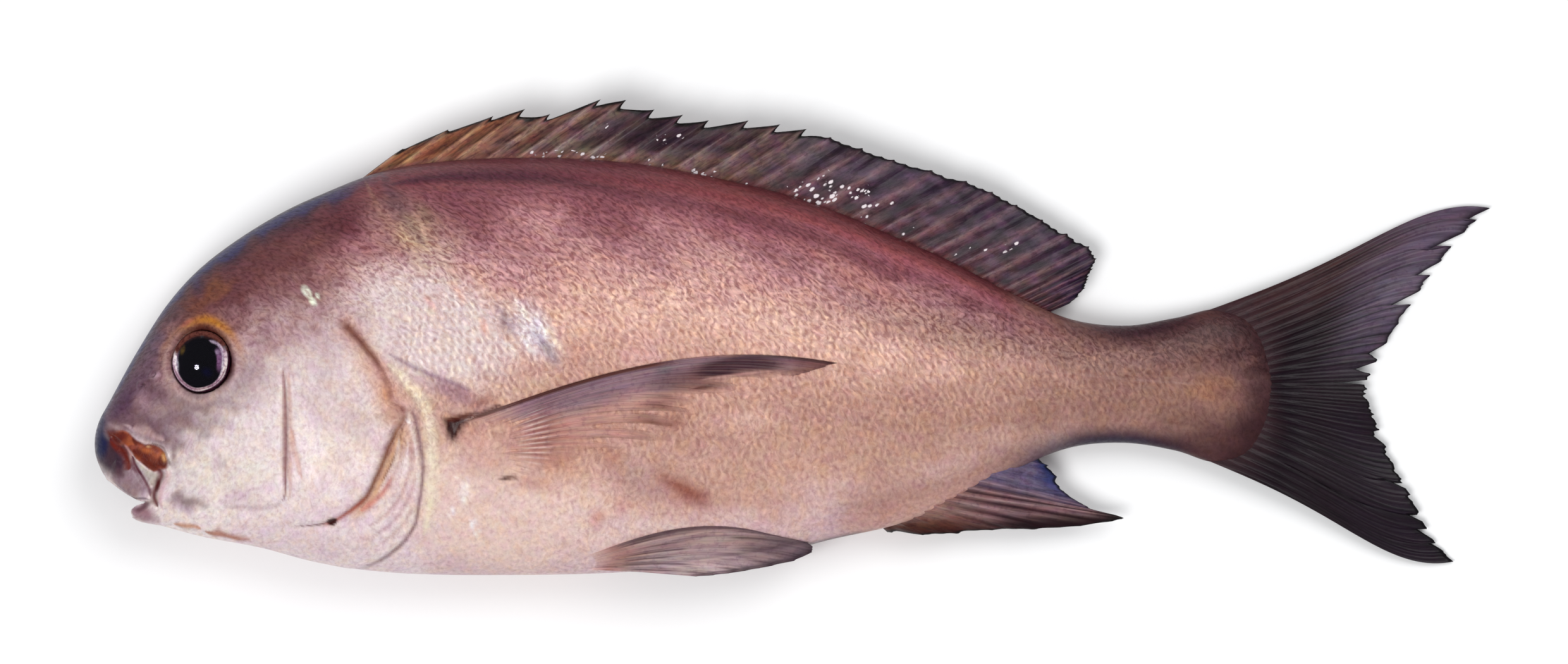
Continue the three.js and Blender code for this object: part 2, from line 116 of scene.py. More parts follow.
WIDEST_RISE = 0.1  # how far above its middle a section is widest, as a share of half its depth
BACK_FULLNESS = -0.08  # how much fuller than an ellipse a section is towards the back
BELLY_FULLNESS = 0.12  # the same towards the belly

HEAD_STEP = 0.5  # ring to ring along the back line, up to the shoulder
TRUNK_STEP = 1.05  # the same behind the shoulder
SHOULDER_STATION = 8.4  # number of the station where head and trunk part
LEFT_SIDES = 224  # points of a ring on the upper side
RIGHT_SIDES = 76  # the same on the side that the fish lies on

EYE_PLACE = (32.5, 7.4)
EYE_RADIUS = 8.8  # of the eyeball, which fills its socket, and of the cornea
EYE_DEPTH = 5.0  # of the open socket
EYE_DOME = 2.6  # how high the cornea rises above its edge
EYE_SINK = 0.4  # how far the eye's centre lies below the skin

MOUTH_OUTLINE = [
    (-2.0, -25.6), (1.4, -25.8), (3.6, -26.6), (6.6, -28.4), (10.4, -30.8), (13.4, -32.3),
    (15.4, -32.9), (13.0, -33.7), (11.2, -34.9), (10.8, -36.0), (11.2, -37.2), (9.0, -38.6),
    (-2.0, -38.6),
]
LIP_FILLET = 1.7  # radius of the rounded edge of the lips

# Gill cover and gill skin, as distances from one centre by angle in degrees.
GILL_CENTRE = (62.0, -10.0)
COVER_EDGE = [
    (-110, 31.0), (-91, 29.2), (-75, 28.9), (-66, 28.0), (-50, 27.0), (-38, 25.3), (-26, 24.7),
    (-15, 24.8), (-4, 26.4), (3, 28.6), (6, 29.1), (9, 28.0), (14, 26.0), (27, 26.8), (38, 27.2),
    (48, 27.6), (60, 29.0), (70, 30.6), (90, 33.0),
]
MEMBRANE_EDGE = [
    (-100, 43.5), (-75, 44.0), (-60, 44.0), (-50, 43.4), (-42, 42.0), (-36, 39.6), (-28, 37.4),
    (-21, 35.8), (-12, 33.6), (-3, 32.0), (6.5, 30.8), (20, 30.0),
]

BACK_FIN_DEPTH = 5.0  # how far its rays reach below the back line
SPINE_LEAN = 38.0  # degrees above the fish's axis
LAST_RAY_LEAN = 22.0  # the same of the last soft ray
SPINE_TIPS = [
    (83.4, 64.8), (88.6, 68.3), (101.5, 73.8), (114.5, 77.7), (123.6, 79.7), (130.8, 78.3),
    (145.3, 82.5), (152.6, 82.3), (160.7, 79.6), (168.9, 78.1), (176.3, 76.5), (187.7, 76.5),
    (196.8, 75.4), (204.4, 74.1),
]
SOFT_FIN_EDGE = [
    (211.6, 71.9), (228.7, 65.8), (248.6, 60.0), (263.1, 54.0), (276.7, 46.0), (287.8, 39.0),
    (286.8, 33.2), (284.6, 28.0), (280.4, 24.0), (274.4, 22.2),
]
SOFT_RAYS = 18
SPINE_NOTCH = 3.8  # how deep the skin is cut in behind each spine

TAIL_ROOTS = [(313.0, 19.4), (329.0, 10.0), (331.0, 0.0), (329.0, -10.0), (313.0, -18.4)]
TAIL_EDGE = [
    (402.6, 51.7), (393.8, 43.2), (386.0, 33.0), (378.8, 22.6), (370.8, 9.6), (366.8, -0.8),
    (369.6, -9.8), (374.0, -21.2), (379.8, -32.2), (385.6, -43.4), (392.0, -50.8),
]
TAIL_RAYS = 24
TAIL_BULGE = 4.6  # how far the outer rays of the tail fin bow outwards
# Splits between rays: number of the ray above, depth, and half width as a share of the space.
TAIL_SPLITS = [
    (0, 5.0, 0.4), (2, 9.0, 0.45), (4, 5.0, 0.4), (6, 6.0, 0.4), (9, 3.0, 0.4), (10, 5.0, 0.35),
    (11, 9.0, 0.1), (15, 2.0, 0.4), (18, 6.5, 0.12), (20, 12.0, 0.1), (21, 4.0, 0.35),
    (22, 3.0, 0.2),
]

VENT_FIN_ROOTS = [(224.0, -38.4), (246.0, -30.4), (269.0, -19.0)]
VENT_FIN_EDGE = [
    (228.0, -42.2), (243.0, -42.8), (258.0, -41.4), (276.0, -41.0), (296.4, -38.4), (287.6, -35.4),
    (279.4, -30.4), (275.6, -24.0), (271.4, -20.6),
]
VENT_RAYS = 12
VENT_FIN_FLESH = 4.5  # how much thicker it is where it grows out of the belly

BREAST_FIN_ROOTS = [(106.0, -9.2), (111.4, -12.4), (113.4, -16.0), (113.6, -19.4), (112.6, -22.4)]
BREAST_FIN_EDGE = [
    (213.2, 7.0), (201.5, 3.4), (182.0, -1.8), (174.0, -9.0), (168.0, -17.0), (154.0, -23.4),
    (140.0, -27.8), (126.0, -28.8),
]
BREAST_RAYS = 20
BREAST_BULGE = 7.8  # how far the rays of the breast fin bow upwards
BELLY_FIN_ROOTS = [(139.0, -48.6), (140.5, -50.4), (142.0, -52.0)]
BELLY_FIN_EDGE = [(199.0, -43.2), (206.9, -45.4), (201.0, -49.0), (187.0, -52.0), (175.0, -53.6)]
BELLY_RAYS = 6
BELLY_BULGE = 6.0  # the same on the belly fin
BELLY_FIN_DROP = 1.0  # how much lower the hidden belly fin reaches
LAID_FIN_DEPTH = 0.9  # how far the breast and belly fins reach into the flank
UPRIGHT_DROOP = 3.0  # how far the edges of the back and vent fins hang down

SCALE_LENGTH = 2.3  # from the free edge of one scale to the next along the fish
SCALE_WIDTH = 2.5  # from one row of scales to the next
# How far the edges of the scales lean forward, by height along the skin above the middle.
SLANT = [(-80, 0.0), (-40, 0.0), (-14, 0.1), (8, 0.35), (24, 0.55), (36, 0.85), (80, 0.85)]

# ---------------------------------------------------------------- curves, masks and noise


def smooth(low, high, value):
    t = np.clip((np.asarray(value, float) - low) / (high - low), 0, 1)
    return t * t * (3 - 2 * t)


def bell(value, width):
    """1 where the value is 0, falling off to both sides."""
    return np.exp(-((value / width) ** 2))


def spline(rows, t, before=None, after=None):
    """Catmull-Rom curve through rows of numbers, with t from 0 to the last row's index."""
    rows = np.asarray(rows, float)
    t = np.asarray(t, float)
    before = 2 * rows[0] - rows[1] if before is None else before
    after = 2 * rows[-1] - rows[-2] if after is None else after
    padded = np.vstack([before, rows, after])
    i = np.clip(np.floor(t).astype(int), 0, len(rows) - 2)
    f = (t - i)[..., None]
    a, b, c, d = (padded[i + k] for k in range(4))
    slope_b, slope_c, rise = (c - a) / 2, (d - b) / 2, c - b
    square, cube = 3 * rise - 2 * slope_b - slope_c, slope_b + slope_c - 2 * rise
    return b + f * slope_b + f**2 * square + f**3 * cube


def along(rows, share):
    return spline(rows, np.asarray(share) * (len(rows) - 1))


def nearest(points, x, y, closed=False):
    """Distance to a line of points, and how far along the line that is, from 0 to 1."""
    points = np.asarray(points, float)
    if closed:
        points = np.vstack([points, points[:1]])
    lengths = np.hypot(*np.diff(points, axis=0).T)
    total, done = lengths.sum(), 0.0
    best, place = np.full(np.shape(x), 1e9), np.zeros(np.shape(x))
    for (ax, ay), (bx, by), length in zip(points[:-1], points[1:], lengths):
        share = (x - ax) * (bx - ax) + (y - ay) * (by - ay)
        share = np.clip(share / max(length, 1e-9) ** 2, 0, 1)
        off = np.hypot(x - ax - share * (bx - ax), y - ay - share * (by - ay))
        closer = off < best
        best = np.where(closer, off, best)
        place = np.where(closer, (done + share * length) / total, place)
        done += length
    return best, place


def curve(points, steps=6):
    """The same line, rounded."""
    return along(points, np.linspace(0, 1, steps * (len(points) - 1) + 1))


def line(x, y, points, width, ends=0.15):
    """Mask of a soft line: 1 on it and 0 from width away, thinner towards both ends."""
    off, place = nearest(curve(points), x, y)
    taper = np.clip(np.minimum(place, 1 - place) / ends, 0, 1) ** 0.5
    return smooth(1, 0, off / (width * np.maximum(taper, 0.05)))


def blob(x, y, centre_x, centre_y, reach_x, reach_y, turn=0.0, core=0.0):
    """Mask of a soft oval: 1 up to the share core of its reach, 0 outside."""
    c, s = math.cos(math.radians(turn)), math.sin(math.radians(turn))
    dx, dy = x - centre_x, y - centre_y
    off = np.hypot((c * dx + s * dy) / reach_x, (c * dy - s * dx) / reach_y)
    return smooth(1, core, off)


def inside(x, y, outline):
    """Signed distance to a closed outline, above 0 inside it."""
    off, _ = nearest(outline, x, y, closed=True)
    odd = np.zeros(np.shape(x), bool)
    for (ax, ay), (bx, by) in zip(outline, outline[1:] + outline[:1]):
        crosses = (ay > y) != (by > y)
        with np.errstate(divide="ignore", invalid="ignore"):
            odd ^= crosses & (x < ax + (y - ay) * (bx - ax) / (by - ay))
    return np.where(odd, off, -off)


def ripples(x, y, size, seed, waves=9):
    """Smooth noise round 0, from crossing waves about size long."""
    rng = np.random.default_rng(seed)
    total = np.zeros(np.shape(x))
    for turn, phase, stretch in rng.random((waves, 3)) * (2 * math.pi, 2 * math.pi, 1):
        k = 2 * math.pi / (size * (0.6 + 0.9 * stretch))
        total += np.sin(k * (x * math.cos(turn) + y * math.sin(turn)) + phase)
    return total / math.sqrt(waves / 2)


# ---------------------------------------------------------------- the body's plain form


def turned(row):
    return np.array([row[2], row[3], row[0], row[1], -row[4], row[5]])


def station(t):
    return spline(STATIONS, t, turned(STATIONS[1]), turned(STATIONS[-2]))


STATION_T = np.linspace(0, len(STATIONS) - 1, 4000)
STATION_TABLE = station(STATION_T)
STATION_X = (STATION_TABLE[:, 0] + STATION_TABLE[:, 2]) / 2


def station_at(x, column):
    return np.interp(x, STATION_X, STATION_TABLE[:, column])


def mid_height(x):
    drop = TAIL_TIP_HEIGHT - STATIONS[-1, 5]
    return station_at(x, 5) + drop * np.clip((x - BODY_END) / (TAIL_TIP_X - BODY_END), 0, 1)


def oval_half(width, c):
    fullness = np.where(c > 0, BACK_FULLNESS, BELLY_FULLNESS)
    return width * np.sqrt(np.maximum(1 - c * c, 0)) * (1 + fullness * c * c)


def raised_at(x, y):
    """Height on the flank: -1 on the belly line and 1 on the back line."""
    top, bottom = station_at(x, 1), station_at(x, 3)
    return (2 * y - top - bottom) / np.maximum(top - bottom, 0.1)


def flank_half(x, y):
    raised = np.clip(raised_at(x, y), -0.97, 0.97)
    root = np.sqrt(1 - 4 * WIDEST_RISE * (raised - WIDEST_RISE))
    return oval_half(station_at(x, 4), (1 - root) / (2 * WIDEST_RISE))


TYPICAL = STATIONS[9]
SECTION_ANGLE = np.linspace(math.pi, 0, 721)
SECTION_RAISED = np.cos(SECTION_ANGLE) + WIDEST_RISE * np.sin(SECTION_ANGLE) ** 2
SECTION_FLATNESS = TYPICAL[4] / (TYPICAL[1] - TYPICAL[3]) * 2
SECTION_LENGTH = np.concatenate([[0], np.cumsum(np.hypot(
    np.diff(np.cos(SECTION_ANGLE)), SECTION_FLATNESS * np.diff(np.sin(SECTION_ANGLE))))])
SECTION_LENGTH -= np.interp(0, SECTION_RAISED, SECTION_LENGTH)
SLANT_HEIGHT = np.linspace(-120, 120, 481)
SLANT_SHIFT = np.cumsum(np.interp(SLANT_HEIGHT, *zip(*SLANT)))
SLANT_SHIFT *= SLANT_HEIGHT[1] - SLANT_HEIGHT[0]


def skin_place(x, raised):
    """Place on the skin: along the fish, slanted as its rows of scales are, and up the skin."""
    height = (station_at(x, 1) - station_at(x, 3)) / 2
    height = height * np.interp(raised, SECTION_RAISED, SECTION_LENGTH)
    return x + np.interp(height, SLANT_HEIGHT, SLANT_SHIFT), height


def eye_frame(side):
    """Centre and axis of an eye; side is 1 for the upper one and -1 for the lower one."""
    x, y = EYE_PLACE
    step = 2.0
    slope_x = (flank_half(x + step, y) - flank_half(x - step, y)) / (2 * step)
    slope_y = (flank_half(x, y + step) - flank_half(x, y - step)) / (2 * step)
    axis = np.array([-slope_x, -slope_y, side], float)
    axis /= np.linalg.norm(axis)
    centre = np.array([x, y, mid_height(x) + side * flank_half(x, y)], float)
    return centre - EYE_SINK * axis, axis


# ---------------------------------------------------------------- relief of the skin

MAXILLA = [
    (5.8, -12.7), (11.2, -13.6), (14.0, -14.8), (16.0, -16.2), (19.6, -16.9), (22.2, -18.4),
    (22.9, -20.4), (22.6, -23.0), (21.1, -23.4), (18.8, -23.8), (16.6, -22.2), (13.6, -20.3),
    (12.2, -18.8), (8.6, -15.4),
]
LIP_STREAK = [(6.2, -13.8), (8.9, -17.6), (10.6, -20.8), (12.0, -23.4)]
PALE_LIP = [
    (13.4, -20.8), (16.4, -23.0), (19.6, -24.2), (19.8, -25.6), (18.0, -28.4), (17.0, -29.0),
    (15.0, -25.0),
]
LIP_CREASE = [(12.2, -19.6), (13.0, -22.4), (14.6, -25.4), (16.2, -28.4), (16.8, -31.6)]
MOUTH_CORNER = [
    (20.4, -23.0), (20.6, -25.2), (19.2, -27.4), (18.0, -29.4), (18.0, -32.0), (19.2, -34.6),
]
CHEEK_LINE = [
    (56.2, 5.0), (56.6, -4.8), (56.6, -15.5), (56.4, -24.0), (56.3, -30.0), (55.4, -32.4),
]
CHEEK_SECOND = [(58.4, -11.5), (59.4, -17.5), (61.2, -25.5)]
CHEEK_LOW = [(56.2, -31.0), (53.4, -33.6), (47.2, -34.2), (38.0, -34.0)]
SHOULDER_BAND = [
    (85.8, 7.0), (91.0, 2.2), (96.2, -4.8), (97.9, -11.9), (98.2, -22.7), (97.6, -33.5),
    (95.5, -42.0),
]
SHOULDER_LINE = [(86.5, 9.5), (94.4, 5.4), (101.5, 2.6), (109.7, -1.0)]
NAPE_LINE = [(77.2, 58.8), (81.4, 51.4), (86.0, 43.8), (90.8, 37.6)]
SIDE_LINE = [
    (84.0, 33.0), (105.0, 38.0), (130.0, 38.5), (160.0, 34.5), (190.0, 27.5), (220.0, 19.0),
    (245.0, 11.5), (270.0, 5.0), (300.0, 1.5), (326.0, 0.0),
]
NOSTRILS = [(18.4, 3.6, 1.3, 0.8), (15.0, 0.6, 0.8, 0.6)]
GILL_FOLDS = [
    [(90.7, -14.5), (89.4, -20.9), (87.0, -25.8), (84.6, -30.0)],
    [(93.2, -15.0), (92.4, -22.5), (90.0, -29.4), (86.0, -35.0), (80.0, -39.6)],
    [(94.0, -24.0), (91.8, -31.2), (87.4, -37.6), (81.0, -42.4)],
    [(93.4, -33.0), (89.4, -39.2), (83.0, -44.4)],
]
FIN_NOTCH = [(117.6, -26.1), (120.2, -25.4), (123.0, -25.8)]
SHEATH_SHADE = [
    (86, 57.8), (92, 59), (101, 60), (117, 60.4), (133, 59.4), (149, 56.2), (170, 52), (205, 43.5),
    (240, 29.5), (262, 20),
]
SHEATH_DROP = 6.0  # from the back line down to the groove below the back fin
ARMPIT = [
    (101.8, -8.8), (106.0, -8.6), (110.4, -8.2), (107.4, -10.4), (105.6, -13.6), (103.8, -15.0),
    (102.6, -12.0),
]
# Folds and grooves: rise, line, how far it is moved, width, and the share that each end takes.
RELIEF_LINES = [
    (-0.75, CHEEK_LINE, (0, 0), 1.4, 0.3), (0.35, CHEEK_LINE, (2.2, 0), 2.0, 0.3),
    (-0.4, CHEEK_SECOND, (0, 0), 1.2, 0.15), (-0.25, CHEEK_LOW, (0, 0), 1.8, 0.4),
    (0.8, SHOULDER_BAND, (0, 0), 3.0, 0.2), (-0.3, SHOULDER_LINE, (0, 0), 1.6, 0.15),
    (-0.4, NAPE_LINE, (0, 0), 2.2, 0.3), (0.15, SIDE_LINE, (0, 0), 0.9, 0.05),
    (-0.4, LIP_STREAK, (0, 0), 1.5, 0.15), (-0.5, LIP_CREASE, (0, 0), 1.3, 0.15),
    (0.6, LIP_CREASE, (-4.4, -1.0), 4.4, 0.3), (-0.6, MOUTH_CORNER, (0, 0), 1.8, 0.15),
    (0.5, MOUTH_CORNER, (2.2, 0), 2.0, 0.4), (-0.5, FIN_NOTCH, (0, 0), 1.1, 0.3),
    *[(-0.45, fold, (0, 0), 1.1, 0.15) for fold in GILL_FOLDS],
]

# Small raised spots on the skin, painted near-white as highlights: place and size.
GLINT_SPOTS = [
    (107.5, -31.7, 1.6, 0.7), (103.8, -35.3, 2.2, 0.9), (109.7, -38.5, 2.2, 1.0),
    (110.9, -41.0, 1.8, 0.8), (105.6, -24.8, 1.3, 0.5), (108.8, -35.0, 1.2, 0.5),
    (62.8, 27.2, 2.8, 1.6), (64.6, 24.4, 2.2, 1.2), (66.0, 26.0, 1.4, 0.7),
    (92.0, -9.4, 0.6, 1.6), (107.8, -28.0, 1.2, 0.8),
]
NAPE_SPOTS = slice(6, 9)  # the three that lie above the gill cover
# Rows of beads on the back fin: small bumps, painted white as highlights.
BEAD_GLINT_ROWS = [
    [(118, 66.4), (132, 66.6), (144, 66.0), (160, 65.0), (178, 60.2), (189, 57.4)],
    [(212, 58), (216, 61), (221, 65)], [(231, 43.6), (235, 45.6)], [(236.2, 40.4), (242, 43.0)],
    [(246.6, 39.0), (251.6, 41.0)], [(253, 36.4), (265, 41.4)],
]


def gill_polar(x, y):
    dx, dy = x - GILL_CENTRE[0], y - GILL_CENTRE[1]
    return np.degrees(np.arctan2(dy, dx)), np.hypot(dx, dy)


def rim_gap(x, y, edge):
    """How far inside a rim round the gill centre a point lies, and the angle there."""
    angle, reach = gill_polar(x, y)
    return np.interp(angle, *np.array(edge, float).T) - reach, angle


def cover_gap(x, y):
    gap, angle = rim_gap(x, y, COVER_EDGE)
    reach = gill_polar(x, y)[1]
    return gap, smooth(-112, -84, angle) * smooth(86, 50, angle) * smooth(6, 20, reach)


def membrane_gap(x, y):
    gap, angle = rim_gap(x, y, MEMBRANE_EDGE)
    return gap, smooth(-88, -74, angle) * smooth(9, 2, angle)


def skin_relief(x, y, raised):
    """Height of the skin above the plain form, the same on both flanks."""
    gap, there = cover_gap(x, y)
    cover = 1.5 * smooth(-0.4, 1.6, gap) * smooth(26, 4, gap)
    cover -= 0.25 * bell(gap + 0.6, 0.8)
    height = there * cover
    gap, there = membrane_gap(x, y)
    height += there * 0.9 * smooth(0, 0.9, gap) * smooth(16, 5, gap)
    for rise, points, move, width, ends in RELIEF_LINES:
        height += rise * line(x, y, np.array(points) + move, width, ends)
    height += 0.7 * smooth(-0.8, 1.4, inside(x, y, MAXILLA))
    height += 0.5 * blob(x, y, 14.2, -36.2, 3.4, 2.0, -15)
    for spot in GLINT_SPOTS:
        height += 0.35 * blob(x, y, *spot, 70)
    for nostril in NOSTRILS:
        height -= 0.9 * blob(x, y, *nostril, 35, 0.3)
        height += 0.25 * blob(x, y, *np.add(nostril, (0, 0, 1.2, 1.2)), 35, 0.5)
    height -= 0.8 * smooth(-1.2, 1.2, inside(x, y, ARMPIT))
    height += 1.2 * blob(x, y, 114.0, -17.5, 10.5, 11.5, -20, 0.3)
    below_back = station_at(x, 1) - y
    sheath = smooth(80, 96, x) * smooth(276, 262, x)
    height -= 0.5 * sheath * bell(below_back - SHEATH_DROP, 2.0)
    muscle = smooth(95, 130, x) * smooth(320, 290, x) * smooth(1, 0.75, np.abs(raised))
    height += muscle * (0.10 * ripples(x, y, 26, 3) + 0.05 * ripples(x, y, 9, 4))
    mouth = -inside(x, y, MOUTH_OUTLINE)
    rounding = np.clip(1 - mouth / LIP_FILLET, 0, 1)
    return height - LIP_FILLET * (1 - np.sqrt(np.maximum(1 - rounding**2, 0)))


def socket_depth(points, side):
    """How far the skin sinks along the axis of an eye, and its distance from that axis."""
    centre, axis = eye_frame(side)
    off = points - centre
    height = off @ axis
    radius = np.linalg.norm(off - height[..., None] * axis, axis=-1)
    near = (np.abs(height) < 12) * 1.0
    upper = 0.5 + 0.5 * smooth(-3, 6, points[..., 1] - EYE_PLACE[1])
    rim = 0.6 * upper * bell(radius - 10.8, 1.6)
    return near * (EYE_DEPTH * smooth(9.1, 8.2, radius) - rim), np.where(near > 0, radius, 99.0)


# ---------------------------------------------------------------- colours


LIGHT_GAIN = 1.02  # how much brighter than its own colour a matt surface comes out in the studio
GLOSS_VEIL = 0.010  # what the wet gloss adds to every colour


def rgb(red, green, blue):
    """Linear colour of a surface that looks like the usual 0 to 255 values in the studio light."""
    value = np.array([red, green, blue]) / 255
    seen = np.where(value <= 0.04045, value / 12.92, ((value + 0.055) / 1.055) ** 2.4)
    return np.maximum((seen - GLOSS_VEIL) / LIGHT_GAIN, 0.002)


def bands(value, stops):
    """Colours that change along a value, from rows of value, red, green and blue."""
    places, *channels = zip(*stops)
    return np.stack([np.interp(value, places, channel) for channel in rgb(*channels)], axis=-1)


# Patches on the head, as rows for Paint.marks.
HEAD_PATCHES = [
    (31, -4, 15, 8, 8, 0.15, 138, 112, 114, 0.85), (44, 2, 12, 10, 25, 0.15, 160, 136, 142, 0.7),
    (30, 24, 14, 6, 34, 0.15, 118, 72, 60, 0.9), (38, 27, 8, 4, 30, 0.15, 132, 84, 60, 0.6),
    (25, 17, 5, 9, -34, 0.15, 118, 86, 96, 0.7), (22, 12, 3.4, 8, -34, 0.15, 176, 132, 120, 0.6),
    (52, 36, 16, 7, 24, 0.15, 116, 74, 74, 0.7), (66, 42, 12, 5, 20, 0.15, 138, 92, 86, 0.5),
    (58, 30, 16, 5, 10, 0.15, 148, 104, 102, 0.5), (70, 34, 7, 5, -40, 0.15, 172, 126, 120, 0.6),
    (60, 22, 14, 6, 5, 0.15, 184, 150, 150, 0.4), (50, 15, 8, 5, 20, 0.15, 176, 142, 146, 0.5),
    (40, -25, 17, 10, 0, 0.15, 230, 218, 208, 0.7), (26, -26, 8, 6, 0, 0.15, 214, 202, 202, 0.6),
    (27, -33, 8, 4, 0, 0.15, 196, 178, 184, 0.7), (44, -31, 9, 4, 10, 0.15, 206, 186, 190, 0.5),
    (74, -8, 14, 12, 0, 0.15, 206, 178, 170, 0.5), (66, -1, 9, 9, 0, 0.15, 200, 176, 180, 0.5),
    (72, -22, 10, 8, 0, 0.15, 236, 214, 200, 0.6), (68, 8, 12, 7, -30, 0.15, 222, 200, 200, 0.5),
    (70, -44, 22, 6, -4, 0.15, 226, 204, 204, 0.6),
    (26.5, -9.5, 7, 4.4, 0, 0.15, 134, 104, 108, 0.8),
    (35, -10.5, 9, 4.4, 0, 0.15, 164, 146, 148, 0.8),
    (25.5, -19, 4, 7, 0, 0.15, 158, 136, 136, 0.75),
    (27, -31.5, 7, 3.2, 0, 0.15, 146, 126, 126, 0.8), (25, 20.5, 5, 3, 30, 0.15, 84, 60, 68, 0.7),
    (17.2, 12.6, 2.6, 6.5, -34, 0.15, 72, 70, 108, 0.8),
    (21.4, 11.0, 2.8, 5.0, -20, 0.15, 168, 130, 122, 0.8),
]
# Pale and bluish patches behind the gill cover, and thin near-white strokes painted as highlights.
SHOULDER_PATCHES_AND_GLINTS = [
    (127.5, 16, 14, 8, -56, 0.1, 220, 210, 220, 0.95),
    (119, 19, 7, 2.6, -56, 0.1, 150, 132, 148, 0.7),
    (131, 11, 9, 2.4, -56, 0.1, 138, 124, 140, 0.6),
    (124, 21, 9, 1.3, -56, 0.1, 244, 234, 228, 0.9),
    (130, 16, 8, 1.2, -56, 0.1, 246, 238, 234, 0.9),
    (125, 12, 7, 1.2, -56, 0.1, 240, 232, 234, 0.8),
    (119.5, 12.5, 9, 1.2, -56, 0.1, 236, 222, 222, 0.7),
    (134, 13, 7, 1.3, -56, 0.1, 238, 214, 192, 0.8),
    (114, 17, 5, 1.6, -56, 0.1, 226, 150, 130, 0.5),
    (98, 24, 5, 1.6, -56, 0.1, 222, 152, 140, 0.45),
    (106, 27, 6, 1.6, -56, 0.1, 228, 170, 156, 0.45),
    (110, 8, 6, 1.4, -56, 0.1, 196, 150, 150, 0.5),
]


class Paint:
    """Colours of the points of a mesh, laid over each other by masks."""

    def __init__(self, shape, colour):
        self.colour = np.broadcast_to(colour, (*shape, 3)).copy()

    def lay(self, colour, mask):
        self.colour += np.clip(mask, 0, 1)[..., None] * (colour - self.colour)

    def marks(self, x, y, rows, within=1.0):
        """Lays marks over each other. A row begins with a mask, or the points, width and ends of a
        line, or the centre, reach, turn and core of an oval, and goes on with red, green, blue and
        strength. within is a mask for them all."""
        for *form, red, green, blue, strength in rows:
            kind = {1: lambda x, y, mask: mask, 3: line, 6: blob}[len(form)]
            self.lay(rgb(red, green, blue), strength * within * kind(x, y, *form))

    def dim(self, factor, mask):
        self.colour *= (1 + (factor - 1) * np.clip(mask, 0, 1))[..., None]


